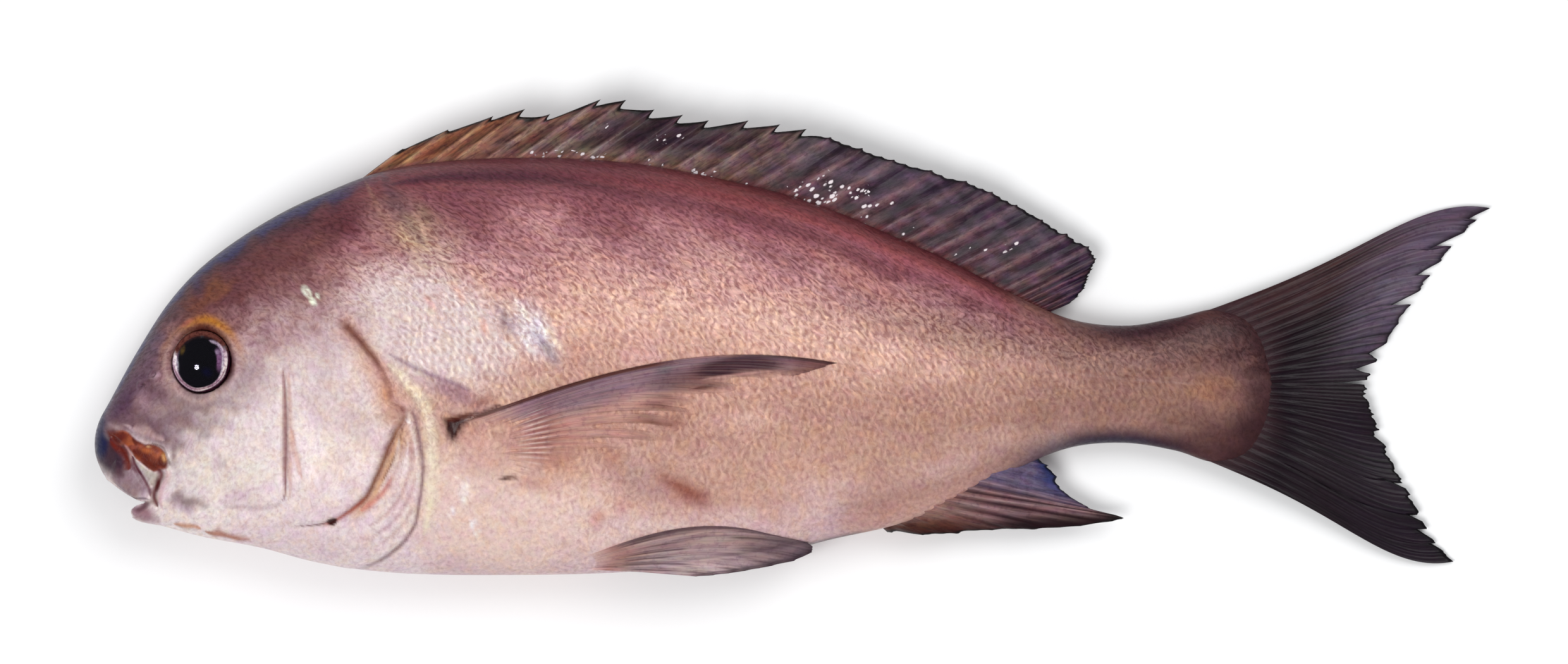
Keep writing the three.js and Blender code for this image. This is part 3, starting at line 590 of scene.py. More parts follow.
def paint_trunk(x, y, raised):
    """Colours of the whole skin, which the other parts are painted over."""
    wander = 0.045 * ripples(x, y, 26, 11) + 0.02 * ripples(x, y, 9, 12)
    r = raised + wander * smooth(0.9, 0.7, raised)
    paint = Paint(x.shape, bands(r, [
        (-1.0, 206, 176, 186), (-0.85, 222, 190, 188), (-0.62, 208, 168, 156),
        (-0.35, 192, 150, 136), (0.0, 204, 160, 146), (0.25, 216, 172, 158), (0.42, 206, 158, 150),
        (0.58, 186, 136, 138), (0.72, 154, 102, 108), (0.84, 134, 82, 90), (0.90, 140, 76, 80),
        (0.97, 130, 66, 68), (1.0, 104, 50, 54),
    ]))
    paint.dim(0.88, smooth(190, 275, x) * smooth(0.8, 0.5, raised))
    inner = smooth(0.92, 0.84, raised) * smooth(275, 250, x)
    paint.dim(1.12, smooth(105, 135, x) * smooth(0.62, 0.76, raised) * inner)
    paint.dim(1.45, smooth(150, 215, x) * smooth(0.66, 0.8, raised) * inner)
    paint.dim(0.8, smooth(190, 230, x) * smooth(0.2, 0.4, raised) * smooth(0.66, 0.5, raised))
    sheath = 0.9 - 0.6 * smooth(112, 165, x)
    paint.marks(x, y, [
        (sheath * line(x, y, SHEATH_SHADE, 3.4), 68, 38, 52, 1),
        (smooth(180, 150, x) * smooth(80, 90, x) * smooth(0.86, 0.93, raised), 104, 62, 74, 0.5),
        ([(176, 52), (200, 44.5), (216, 38), (232, 30)], 5.0, 0.3, 112, 62, 68, 0.6),
        (smooth(165, 200, x) * smooth(0.9, 0.97, raised), 92, 48, 54, 0.5),
        (220, 30.5, 26, 5, -28, 0.2, 192, 132, 122, 0.5),
    ])
    front = ripples(x, y, 14, 13)
    paint.marks(x, y, [
        (116, -36, 52, 26, -6, 0.35, 234, 206, 196, 0.9),
        (134, -24, 24, 12, -10, 0, 222, 186, 168, 0.6),
    ])
    paint.marks(x + front, y, [
        (94, 43, 22, 13, -30, 0.2, 168, 130, 122, 0.8),
        (93, 44, 10, 6, -50, 0.2, 206, 172, 142, 0.75), (91, 33, 9, 5, -20, 0, 196, 152, 152, 0.5),
        (86, 54, 9, 5, -20, 0, 120, 84, 86, 0.5),
    ])
    paint.marks(x, y + front, [(99, 36, 15, 8, -35, 0, 214, 186, 172, 0.6)])
    paint.marks(x + front, y, [(97, 17, 35, 21, -20, 0.45, 226, 208, 206, 0.95)])
    paint.marks(x, y, [(116, 34, 24, 9, -25, 0, 196, 152, 156, 0.55)])
    gold = line(
        x, y, [(122, 14), (140, 21), (165, 22), (190, 17), (218, 10), (250, 4)], 16, ends=0.3)
    paint.marks(x, y, [
        (gold * (0.75 + 0.25 * ripples(x, y, 12, 14)), 236, 196, 180, 0.6),
        (158, 10, 11, 8, 10, 0, 214, 168, 170, 0.5), (196, 30, 30, 7, -14, 0, 206, 148, 148, 0.4),
    ])
    # Pale and bluish patches, with painted highlights as thin near-white strokes.
    paint.marks(x + 0.5 * front, y, SHOULDER_PATCHES_AND_GLINTS)
    paint.marks(x, y, [
        ([(112, 5), (121, -1), (134, 4)], 5, 0.3, 206, 172, 156, 0.6),
        (105, -1.5, 13, 4, -24, 0.1, 150, 102, 118, 0.75),
        (112.5, -4.0, 5.4, 2.6, 24, 0, 140, 78, 60, 0.75),
        (168, -27, 22, 8, -22, 0, 170, 122, 108, 0.55),
    ])
    paint.marks(x + front, y, [(170, -29.5, 13, 4.2, -30, 0, 142, 74, 58, 0.8)])
    paint.marks(x, y, [
        (150, -20, 22, 5, -30, 0, 176, 120, 100, 0.5),
        (145, -37.5, 5, 3.5, 45, 0, 206, 134, 106, 0.7),
        (152, -34, 7, 3, 40, 0, 206, 150, 146, 0.5),
        (158, -40, 26, 5, -2, 0.2, 226, 198, 194, 0.75),
        (157, -26, 12, 7, -50, 0, 196, 176, 178, 0.5),
        (205, -20, 40, 12, 10, 0, 206, 164, 148, 0.6),
        (156, -27, 16, 7, -30, 0, 178, 134, 124, 0.5),
        (134, -21, 15, 8, -14, 0, 184, 126, 104, 0.65),
    ])
    paint.marks(x + front, y, [(167, -9.5, 9, 4.5, 6, 0, 148, 96, 82, 0.6)])
    paint.marks(x, y, [
        (188, -9, 18, 6, 4, 0, 224, 184, 172, 0.6),
        # Painted near-white highlight below the breast fin's base.
        (107.6, -29.5, 2.8, 6, -10, 0.2, 240, 226, 222, 0.7),
    ])
    paint.dim(0.88, smooth(225, 250, x) * smooth(0.15, 0.4, raised) * smooth(280, 262, x))
    tail_part = smooth(262, 272, x)
    vent_part = smooth(205, 222, x) * (1 - tail_part)
    paint.lay(rgb(182, 140, 128), 0.9 * vent_part * smooth(0.55, 0.85, -raised))
    # Painted light: the belly's edge above the vent fin is made lighter where the skin turns away
    # from the lamps and falls into shade.
    paint.dim(1.22, vent_part * smooth(0.8, 0.95, -raised))
    vent = smooth(188, 198, x) * smooth(226, 216, x)
    paint.lay(rgb(60, 42, 50), 0.8 * vent * smooth(0.97, 1, -raised))
    # Painted near-white highlights on the raised glint spots.
    paint.marks(x, y, [(*spot, 70, 0.3, 246, 240, 238, 0.95) for spot in GLINT_SPOTS])
    return paint


def paint_tail_root(paint, x, y, raised):
    wander = 4 * ripples(x, y, 14, 21)
    paint.marks(x, y, [
        (smooth(250, 292, x + wander), 156, 118, 108, 0.9),
        (smooth(276, 318, x + wander + 26 * (raised - 0.2)), 124, 88, 84, 0.85),
        (314, -3, 32, 10, -3, 0.3, 158, 120, 108, 0.85),
        (smooth(268, 300, x) * smooth(0.5, 0.92, raised), 62, 40, 48, 1),
        (smooth(246, 290, x) * smooth(0.62, 0.96, -raised), 52, 42, 60, 1),
    ])
    edge = x + 2.0 * ripples(x, y * 2, 16, 22)
    paint.marks(x, y, [
        (322, -1, 12, 6, 0, 0, 196, 124, 58, 0.25),
        (smooth(320, 334, edge + 10 * smooth(0.3, 1, np.abs(raised))), 106, 76, 76, 0.85),
        (smooth(294, 324, edge) * smooth(0.1, 0.75, np.abs(raised)), 82, 54, 54, 0.75),
        (smooth(326, 341, edge + 8 * smooth(0.3, 0.9, np.abs(raised))), 66, 44, 47, 0.9),
    ])


def paint_head(paint, x, y):
    head = 1 - smooth(72, 92, x + 0.3 * y + 2 * ripples(x, y, 12, 30))
    wander = 2.2 * ripples(x, y, 14, 31) + 1.4 * ripples(x, y, 6, 32)
    crown = y - 0.42 * x + wander
    paint.lay(bands(crown, [
        (-62, 232, 212, 214), (-52, 240, 224, 222), (-30, 230, 214, 213), (-17, 214, 192, 190),
        (-8, 186, 154, 156), (1, 146, 108, 110), (9, 116, 74, 78), (24, 98, 60, 64),
    ]), head)
    paint.marks(x + 0.4 * wander, y - 0.4 * wander, HEAD_PATCHES)
    snout = 1 - smooth(14, 34, x + 0.35 * (y + 8) + wander)
    paint.marks(x, y, [
        (snout * smooth(-15, -10, y + 0.4 * x - 4), 116, 86, 96, 0.95),
        (9, -3, 6, 12, -36, 0.2, 84, 56, 82, 0.85), (15, 4, 6, 12, -36, 0.2, 106, 78, 94, 0.8),
        (16, -4, 5, 5, 0, 0, 176, 142, 152, 0.7), (19.0, 3.4, 2.4, 1.4, 20, 0, 196, 168, 176, 0.6),
        (19.5, -1.5, 6, 4, -20, 0, 96, 66, 78, 0.6),
    ])
    rim = station_at(x, 1) - y
    front = 1 - smooth(64, 88, x)
    paint.marks(x, y, [
        (front * 0.8 * smooth(9, 3.5, rim + 0.4 * wander) * smooth(-12, 10, y), 74, 48, 60, 1),
        (front * smooth(5.0, 1.8, rim + 0.3 * wander) * smooth(-20, -6, y), 56, 54, 98, 0.9),
        (front * smooth(1.5, 0.3, rim), 60, 46, 58, 0.9),
        (np.array(NAPE_LINE) + (1.2, 0), 2.2, 0.6, 160, 120, 106, 0.5),
        (72, 47, 14, 8, 30, 0, 84, 48, 54, 0.7),
        (np.array(NAPE_LINE) + (5.6, 2.6), 4.4, 0.4, 98, 72, 84, 0.5),
        (96.0, 49.0, 6, 3.4, -50, 0, 134, 112, 90, 0.6),
        (66.5, 25.5, 3.4, 3.4, 0, 0, 126, 96, 80, 0.5),
    ])
    # Painted greenish-white highlights on the three spots above the gill cover.
    paint.marks(x, y, [(*spot, -50, 0.3, 236, 242, 222, 0.95) for spot in GLINT_SPOTS[NAPE_SPOTS]])


def paint_gills(paint, x, y):
    paint.marks(x, y, [
        (np.array(CHEEK_LINE) + (1.6, 0), 2.0, 0.5, 206, 160, 146, 0.55),
        # A painted highlight along the front lip of the cheek groove.
        (np.array(CHEEK_LINE) - (0.8, 0), 0.7, 0.4, 240, 224, 216, 0.6),
        (CHEEK_LINE, 1.3, 0.4, 140, 92, 92, 0.95), (CHEEK_SECOND, 1.2, 0.15, 206, 150, 130, 0.5),
        (CHEEK_LOW, 1.6, 0.4, 172, 146, 156, 0.4), (SHOULDER_BAND, 3.4, 0.25, 238, 222, 198, 0.9),
    ])
    gap, angle = rim_gap(x, y, COVER_EDGE)
    upper = smooth(10, 22, angle) * smooth(74, 64, angle)
    lower = smooth(-70, -52, angle) * smooth(2, -6, angle)
    corner = smooth(-10, -2, angle) * smooth(14, 8, angle)
    broad = 0.7 + 1.2 * smooth(30, 62, angle)
    paint.marks(x, y, [
        (smooth(-4, 6, angle) * smooth(56, 40, angle) * bell(gap - 3, 2.6), 206, 156, 128, 0.5),
        (upper * bell(gap - 0.2, 1.2 + broad), 196, 146, 128, 0.7),
    ])
    strong = 0.35 + 0.65 * smooth(24, 44, angle)
    paint.marks(x, y, [
        (strong * upper * bell(gap + 0.1, 0.7 * broad), 120, 70, 58, 0.9),
        (smooth(30, 16, angle) * upper * bell(gap - 1.6, 1.0), 206, 132, 74, 0.5),
        (lower * bell(gap + 2.0, 1.6), 208, 160, 124, 0.9),
        (lower * bell(gap + 0.4, 0.8), 124, 72, 46, 0.95),
        (corner * bell(gap + 0.3, 0.9), 150, 104, 84, 0.8),
        ([(90.4, -11), (88.6, -17.5), (86.6, -22), (84.0, -27)], 0.6, 0.15, 122, 70, 40, 0.8),
    ])
    red = smooth(-84, -76, angle) * smooth(-46, -58, angle)
    paint.marks(x, y, [
        (red * bell(gap + 0.3, 0.7), 168, 84, 66, 0.9),
        ([(87.0, -25.4), (83.5, -30.7), (77.6, -35.2)], 1.3, 0.15, 206, 128, 116, 0.8),
    ])
    gap, angle = rim_gap(x, y, MEMBRANE_EDGE)
    rim = smooth(-80, -56, angle) * smooth(9, 2, angle)
    paint.marks(x, y, [
        (rim * bell(gap + 0.4, 0.6), 120, 84, 92, 0.85),
        (rim * bell(gap - 1.0, 0.8), 240, 226, 222, 0.6),
    ])
    for fold in GILL_FOLDS:
        paint.marks(x, y, [
            (fold, 0.8, 0.15, 176, 132, 132, 0.45),
            (np.array(fold) - (1.3, -0.4), 0.9, 0.15, 242, 226, 222, 0.5),
        ])
    paint.marks(x, y, [
        (SHOULDER_LINE, 1.3, 0.15, 120, 78, 112, 0.6),
        (69.6, -37.9, 1.9, 1.6, 20, 0.6, 62, 14, 12, 1.0),
        ([(69.6, -37.9), (65.5, -38.9), (60.6, -39.4)], 0.6, 0.5, 96, 40, 36, 0.8),
    ])
    armpit = smooth(-0.8, 0.6, inside(x, y, ARMPIT))
    paint.marks(x, y, [
        (104.4, -13.6, 2.6, 4.6, 10, 0, 158, 126, 122, 0.65), (armpit, 56, 24, 24, 1),
        # Painted pale highlight in the top of the dark armpit.
        (armpit * blob(x, y, 108.4, -9.4, 2.0, 1.0, 10), 142, 116, 114, 0.7),
        ([(102.6, -9.4), (108, -7.8), (113, -7.0), (118, -4.8)], 1.3, 0.05, 88, 44, 38, 0.95),
        (FIN_NOTCH, 0.9, 0.15, 58, 28, 26, 0.9), (119.2, -25.7, 1.8, 0.9, 0, 0.2, 50, 24, 24, 0.9),
        (115, -17, 11, 11, 0, 0.3, 206, 160, 146, 0.6), (110, -14, 6, 6, 0, 0, 200, 140, 128, 0.5),
        (127, -27, 12, 4, -12, 0, 184, 126, 106, 0.55),
    ])


def paint_mouth(paint, x, y):
    x, y = x + 0.4 * ripples(x, y, 9, 35), y + 0.4 * ripples(x, y, 8, 36)
    paint.marks(x, y, [
        (11.0, -26.5, 8.0, 6.5, -40, 0.5, 146, 120, 128, 0.95),
        (10.4, -23.8, 1.4, 1.0, 0, 0, 184, 160, 170, 0.6),
        (5.8, -19.2, 7.2, 8.4, 14, 0.5, 60, 38, 54, 0.97),
        (2.8, -14.5, 3.4, 8.6, -6, 0.4, 34, 40, 76, 0.9),
        (9.0, -24.0, 3.6, 2.4, -30, 0.2, 96, 66, 76, 0.8),
        (11.4, -11.6, 2.6, 1.1, -18, 0.2, 200, 174, 180, 0.75),
        ([(12.6, -11.2), (16.9, -12.6), (21.0, -15.0)], 1.7, 0.15, 186, 156, 156, 0.9),
        (LIP_STREAK, 2.0, 0.15, 112, 42, 34, 0.95),
        (6.8, -13.2, 2.6, 1.6, -30, 0.3, 84, 30, 42, 0.8),
    ])
    jaw = smooth(-0.5, 0.5, inside(x, y, MAXILLA))
    paint.lay(rgb(134, 58, 36), 0.95 * jaw)
    paint.marks(x, y, [
        (np.clip(1.4 * ripples(x, y, 5, 40), 0, 1), 176, 96, 62, 0.7),
        (np.clip(1.4 * ripples(x, y, 6, 37), 0, 1), 86, 34, 24, 0.8),
        ([(12.4, -17.8), (16.4, -19.4), (18.8, -21.6), (21.2, -21.6)], 2.6, 0.15, 92, 34, 22, 0.9),
        (14.6, -16.2, 2.0, 0.9, -24, 0, 168, 88, 66, 0.6),
        (8.6, -14.6, 3.4, 1.8, -34, 0, 84, 32, 36, 0.8),
        (17.0, -18.2, 4.0, 1.1, -24, 0, 190, 104, 58, 0.8),
        (21.8, -19.6, 1.2, 2.2, 20, 0, 206, 144, 76, 0.9),
        (17.6, -17.2, 1.6, 0.6, -20, 0, 224, 176, 130, 0.8),
    ], jaw)
    paint.marks(x, y, [
        ([(9.6, -16.4), (11.4, -18.8), (13.0, -21.4)], 0.6, 0.15, 196, 140, 140, 0.7),
        ([(18.4, -16.2), (21.4, -17.2), (23.0, -19.6), (23.2, -22.4)], 0.5, 0.15, 84, 56, 40, 0.6),
    ])
    paint.lay(rgb(184, 176, 168), 0.9 * smooth(-0.5, 0.5, inside(x, y, PALE_LIP)))
    paint.marks(x, y, [
        (LIP_CREASE, 1.0, 0.15, 112, 66, 78, 0.85), (LIP_CREASE[:3], 1.5, 0.4, 94, 44, 56, 0.8),
        (np.array(LIP_CREASE[1:]) + (0.9, 0.3), 0.6, 0.15, 196, 176, 182, 0.6),
        (np.array(MOUTH_CORNER) + (2.0, -0.3), 1.6, 0.15, 208, 170, 176, 0.75),
        (MOUTH_CORNER, 1.7, 0.1, 104, 48, 52, 0.95),
        (18.8, -27.8, 1.1, 2.4, -24, 0.3, 84, 32, 34, 0.9),
        # Painted white highlight on the fold at the mouth's corner.
        (17.0, -28.0, 0.5, 0.9, 0, 0, 240, 226, 222, 0.6),
        ([(7.6, -28.2), (12.0, -31.0), (16.6, -32.6)], 0.8, 0.15, 96, 76, 88, 0.7),
        (14.6, -36.4, 6.4, 3.4, -15, 0.3, 150, 106, 118, 0.9),
        (14.8, -34.2, 4.6, 1.4, 16, 0.2, 96, 58, 70, 0.85),
    ])
    above = smooth(0.7, 1.7, y - station_at(x, 3))
    paint.marks(x, y, [
        ([(23.0, -38.9), (27.0, -39.5), (32.0, -40.7)], 1.5, 0.15, 188, 118, 70, 0.75),
        ([(34.0, -41.3), (39.0, -42.5), (46.0, -44.7)], 1.7, 0.15, 170, 96, 60, 0.85),
        ([(19.0, -38.9), (27.0, -40.9), (35.0, -43.5), (45.0, -46.5)], 0.9, 0.15, 92, 56, 48, 0.6),
    ], above)
    paint.marks(x, y, [(*nostril, 35, 0.3, 84, 60, 66, 0.7) for nostril in NOSTRILS])


def paint_eye_rim(paint, radius, x, y):
    dx, dy = x - EYE_PLACE[0], y - EYE_PLACE[1]
    angle = np.degrees(np.arctan2(dy, dx))
    brow = bell(angle - 72, 46)
    wide = bell(angle - 88, 66)
    radius = radius + 0.25 * ripples(x, y, 14, 38)
    paint.lay(rgb(150, 96, 66), 0.7 * wide * bell(radius - 11.4, 2.2))
    paint.lay(rgb(194, 128, 48), 0.9 * brow * bell(radius - 11.9, 1.2))
    paint.marks(angle, radius, [
        (112, 12.6, 18, 1.4, 0, 0, 186, 96, 82, 0.6),
        (158, 12.4, 16, 2.4, 0, 0, 180, 134, 112, 0.5),
    ])
    # Painted shade under the brow: dark brown to near black from the brow down into the socket, with
    # patches.
    paint.lay(rgb(84, 40, 24), 0.95 * wide * smooth(11.2, 9.8, radius))
    paint.lay(rgb(56, 24, 22), 0.95 * wide * smooth(10.0, 8.9, radius))
    paint.marks(angle, radius, [
        (42, 9.6, 30, 1.9, 0, 0.3, 116, 68, 38, 0.9), (60, 9.0, 24, 1.4, 0, 0.3, 80, 40, 24, 0.9),
        (120, 9.6, 22, 1.8, 0, 0.3, 98, 60, 48, 0.8),
    ])
    paint.lay(rgb(198, 168, 164), 0.5 * (1 - wide) * bell(radius - 10.8, 1.0))
    right = bell(angle + 10, 60)
    paint.lay(rgb(100, 70, 72), 0.9 * right * smooth(10.9, 9.6, radius))
    paint.lay(rgb(58, 34, 34), 0.9 * right * smooth(9.7, 8.9, radius))
    paint.lay(rgb(56, 32, 34), 0.95 * smooth(9.1 + 0.7 * right, 8.7, radius))


# ---------------------------------------------------------------- node graphs


class Graph:
    """A material's node tree, with short calls for its nodes, from sockets or plain values."""

    def __init__(self, name):
        self.material = bpy.data.materials.new(name)
        self.material.use_nodes = True
        self.tree = self.material.node_tree
        self.tree.nodes.clear()

    def node(self, kind, inputs=(), **settings):
        made = self.tree.nodes.new("ShaderNode" + kind)
        for key, value in settings.items():
            setattr(made, key, value)
        for key, value in dict(inputs).items():
            if isinstance(value, bpy.types.NodeSocket):
                self.tree.links.new(value, made.inputs[key])
            else:
                made.inputs[key].default_value = value
        return made

    def math(self, operation, *values):
        return self.node("Math", enumerate(values), operation=operation).outputs[0]

    def mix(self, factor, a, b, blend="MIX"):
        made = self.node("Mix", {0: factor, 6: a, 7: b}, data_type="RGBA", blend_type=blend)
        return made.outputs[2]

    def attribute(self, name, output="Fac"):
        return self.node("Attribute", attribute_name=name).outputs[output]

    def ramp(self, value, low, high, new_low=0.0, new_high=1.0):
        inputs = {0: value, 1: low, 2: high, 3: new_low, 4: new_high}
        return self.node("MapRange", inputs, interpolation_type="SMOOTHSTEP").outputs[0]

    def noise(self, vector, scale, detail=2.0, roughness=0.5, output="Fac"):
        inputs = {"Vector": vector, "Scale": scale, "Detail": detail, "Roughness": roughness}
        return self.node("TexNoise", inputs).outputs[output]

    def vector(self, operation, a, b):
        return self.node("VectorMath", {0: a, 1: b}, operation=operation).outputs[0]

    def bump(self, height, strength, distance):
        inputs = {"Height": height, "Strength": strength, "Distance": distance}
        return self.node("Bump", inputs).outputs[0]

    def place(self):
        """Place in the part's frame, in metres."""
        return self.node("TexCoord").outputs["Object"]

    def stretched(self, vector, factors, turn=0.0):
        inputs = {"Vector": vector, "Scale": factors, "Rotation": (0, 0, turn)}
        return self.node("Mapping", inputs).outputs[0]

    def finish(self, **inputs):
        shader = self.node("BsdfPrincipled", {k.replace("_", " "): v for k, v in inputs.items()})
        output = self.node("OutputMaterial")
        self.tree.links.new(shader.outputs[0], output.inputs[0])
        return self.material


def opaque(colour):
    return (*[float(c) for c in colour], 1.0)


def scales(g, place):
    """Soft rows of scales: 1 on the free edge of a scale, painted pale as a highlight, and 0 in the
    hollow behind it, painted dark as its shadow.
    Each row lies half a scale off the next."""
    u, v, _ = g.node("SeparateXYZ", {0: place}).outputs
    across = g.math("COSINE", g.math("MULTIPLY", u, 2 * math.pi))
    up = g.math("COSINE", g.math("MULTIPLY", v, math.pi))
    return g.math("ADD", 0.5, g.math("MULTIPLY", 0.5, g.math("MULTIPLY", across, up)))


def shade(g, colour, factor, tone):
    """The colour times a tone, by a factor."""
    return g.mix(factor, colour, g.mix(1.0, colour, (*tone, 1), "MULTIPLY"))


def shaded(g, colour, rows):
    """The colour times tones. A row gives a value, where the tone begins and where it is full, the
    tone's strength there, and its red, green and blue."""
    for value, begins, full, strength, *tone in rows:
        colour = shade(g, colour, g.ramp(value, begins, full, 0.0, strength), tone)
    return colour


def hue_noise(g, colour, place, scale, strength):
    """Small shifts of hue, as patches of a size."""
    hues = g.mix(strength, (0.5, 0.5, 0.5, 1), g.noise(place, scale, 2.0, 0.6, "Color"))
    return g.mix(1.0, g.mix(1.0, colour, hues, "MULTIPLY"), (2, 2, 2, 1), "MULTIPLY")


def skin_layers(g, tint):
    """Colour, height and roughness of the skin, over its painted colour."""
    scaly = g.attribute("scaly")
    mottled = g.attribute("mottled")
    flank = g.attribute("flank", "Vector")
    moved = flank
    for size, reach in ((0.12, 4.0), (0.45, 1.9)):
        wobble = g.vector("SUBTRACT", g.noise(flank, size, 1.0, output="Color"), (0.5, 0.5, 0.5))
        moved = g.vector("ADD", moved, g.vector("MULTIPLY", wobble, (reach, reach, 0)))
    lattice = scales(g, g.stretched(moved, (1 / SCALE_LENGTH, 1 / SCALE_WIDTH, 1)))
    blotch = g.noise(flank, 0.13, 4.0, 0.6)
    dash = g.noise(g.stretched(moved, (0.85, 0.62, 1)), 1.0, 2.0, 0.6)
    fleck = g.noise(g.stretched(flank, (0.75, 0.7, 1)), 1.0, 3.0, 0.6)
    patch = g.noise(flank, 0.4, 2.0, 0.5)
    warmth = g.noise(g.stretched(moved, (0.28, 0.23, 1)), 1.0, 3.0, 0.6)

    colour = shaded(g, tint, [
        (blotch, 0.46, 0.64, 0.5, 0.86, 0.78, 0.86),
        (warmth, 0.48, 0.64, 0.55, 1.04, 0.98, 0.84),
        (warmth, 0.48, 0.34, 0.6, 0.98, 0.92, 1.02),
    ])
    colour = hue_noise(g, colour, flank, 0.3, 0.09)
    dark = g.math("MULTIPLY", mottled, g.ramp(dash, 0.48, 0.64))
    colour = shade(g, colour, dark, (0.58, 0.42, 0.46))
    light = g.math("MULTIPLY", mottled, g.ramp(dash, 0.50, 0.34))
    colour = shade(g, colour, light, (1.34, 1.38, 1.36))
    colour = shaded(g, colour, [
        (fleck, 0.50, 0.68, 0.5, 0.74, 0.64, 0.68), (fleck, 0.48, 0.32, 0.5, 1.18, 1.18, 1.16),
    ])
    shown = g.math("MULTIPLY", scaly, g.ramp(patch, 0.34, 0.6, 0.3, 1.0))
    # Painted highlight on the free edge of each scale, and painted shadow in the hollow behind it.
    edge = g.math("MULTIPLY", shown, g.ramp(lattice, 0.52, 0.95))
    colour = shade(g, colour, edge, (1.30, 1.30, 1.22))
    scale_shadow = g.math("MULTIPLY", shown, g.ramp(lattice, 0.48, 0.05))
    colour = shade(g, colour, scale_shadow, (0.82, 0.71, 0.67))
    height = g.math("ADD", g.math("MULTIPLY", scaly, lattice), g.math("MULTIPLY", fleck, 0.8))
    height = g.math("SUBTRACT", height, g.math("MULTIPLY", dark, 0.4))
    return colour, height, g.ramp(fleck, 0.3, 0.7, 0.34, 0.5)


def fin_layers(g, tint, streaks, hues):
    """Colour, height and roughness of a fin, with dark and bright streaks along its rays."""
    rays = g.attribute("rays", "Vector")
    place = g.stretched(g.place(), (1000, 1000, 1000))
    broad = g.noise(g.stretched(rays, (1.7, 3.0, 1)), 1.0, 3.0, 0.6)
    fine = g.noise(g.stretched(rays, (5.5, 4.5, 1)), 1.0, 4.0, 0.65)
    hair = g.noise(g.stretched(rays, (15.0, 6.0, 1)), 1.0, 3.0, 0.6)
    mottle = g.noise(place, 0.55, 4.0, 0.65)
    colour = hue_noise(g, tint, g.stretched(rays, (1.5, 6.0, 1)), 1.0, hues)
    colour = hue_noise(g, colour, place, 0.35, 0.6 * hues)
    colour = shaded(g, colour, [
        (broad, 0.46, 0.66, 0.7 * streaks, 0.50, 0.40, 0.48),
        (broad, 0.46, 0.32, 0.5 * streaks, 1.35, 1.30, 1.20),
        (mottle, 0.50, 0.66, 0.7 * streaks, 0.55, 0.44, 0.58),
        (fine, 0.48, 0.64, 0.8 * streaks, 0.45, 0.36, 0.42),
        (fine, 0.46, 0.32, 0.5 * streaks, 1.45, 1.35, 1.30),
        (hair, 0.54, 0.70, 0.35 * streaks, 1.5, 1.45, 1.5),
    ])
    height = g.math("ADD", g.math("MULTIPLY", fine, 0.7), g.math("MULTIPLY", hair, 0.4))
    return colour, height, g.ramp(fine, 0.3, 0.7, 0.3, 0.48)


def wet_skin(g, colour, height, rough):
    bump = g.bump(height, 0.6, 0.00035)
    return g.finish(
        Base_Color=colour, Roughness=rough, Normal=bump, IOR=1.38, Specular_IOR_Level=0.25,
        Coat_Weight=0.08, Coat_Roughness=0.12,
    )


def skin_material():
    g = Graph("skin")
    return wet_skin(g, *skin_layers(g, g.attribute("tint", "Color")))


def fin_material(name, streaks=1.0, hues=0.6):
    """The skin of an upright fin, with white beads where the attribute wet says so: small bumps
    painted white as highlights.
    """
    g = Graph(name)
    colour, height, rough = fin_layers(g, g.attribute("tint", "Color"), streaks, hues)
    place = g.stretched(g.place(), (1000, 1000, 1000))
    wobble = g.vector("MULTIPLY", g.noise(place, 1.4, output="Color"), (0.55, 0.55, 0.55))
    moved = g.vector("ADD", place, wobble)
    moved = g.stretched(g.stretched(moved, (1, 1, 1), math.radians(-33)), (0.6, 1, 1))
    cells = g.node("TexVoronoi", {"Vector": moved, "Scale": 0.85})
    red, green, _ = g.node("SeparateColor", {0: cells.outputs["Color"]}).outputs
    size = g.math("ADD", 0.10, g.math("MULTIPLY", red, 0.38))
    glint_bead = g.ramp(g.math("SUBTRACT", cells.outputs["Distance"], size), 0.08, -0.08)
    glint_bead = g.math("MULTIPLY", glint_bead, g.math("LESS_THAN", green, g.attribute("wet")))
    # Painted white highlights on the beads.
    colour = g.mix(glint_bead, colour, opaque(rgb(240, 228, 232)))
    return wet_skin(g, colour, g.math("ADD", height, g.math("MULTIPLY", glint_bead, 1.5)), rough)


def laid_fin_material():
    """A thin fin on the flank: its own look where cover is 1, and the skin's where it is 0."""
    g = Graph("laid_fin")
    tint = g.attribute("tint", "Color")
    cover = g.attribute("cover")
    skin = skin_layers(g, tint)
    fin = fin_layers(g, tint, 0.6, 0.15)
    colour = g.mix(cover, skin[0], fin[0])
    height = g.node("Mix", {0: cover, 2: skin[1], 3: fin[1]}, data_type="FLOAT").outputs[0]
    return wet_skin(g, colour, height, 0.42)


def mouth_material():
    g = Graph("mouth")
    place = g.place()
    mottle = g.noise(place, 400.0, 3.0)
    colour = g.mix(mottle, opaque(rgb(120, 40, 38)), opaque(rgb(176, 96, 92)))
    bump = g.bump(mottle, 0.4, 0.0005)
    return g.finish(Base_Color=colour, Roughness=0.3, Normal=bump, Coat_Weight=0.4)


def eye_material():
    g = Graph("eye")
    tint = g.attribute("tint", "Color")
    rays = g.attribute("rays", "Vector")
    grain = g.noise(g.stretched(rays, (1.2, 1.2, 1)), 1.0, 3.0, 0.6)
    colour = shaded(g, tint, [
        (grain, 0.46, 0.64, 0.75, 0.45, 0.32, 0.42), (grain, 0.46, 0.34, 0.6, 1.3, 1.28, 1.25),
    ])
    return g.finish(Base_Color=colour, Roughness=0.6, Specular_IOR_Level=0.0)


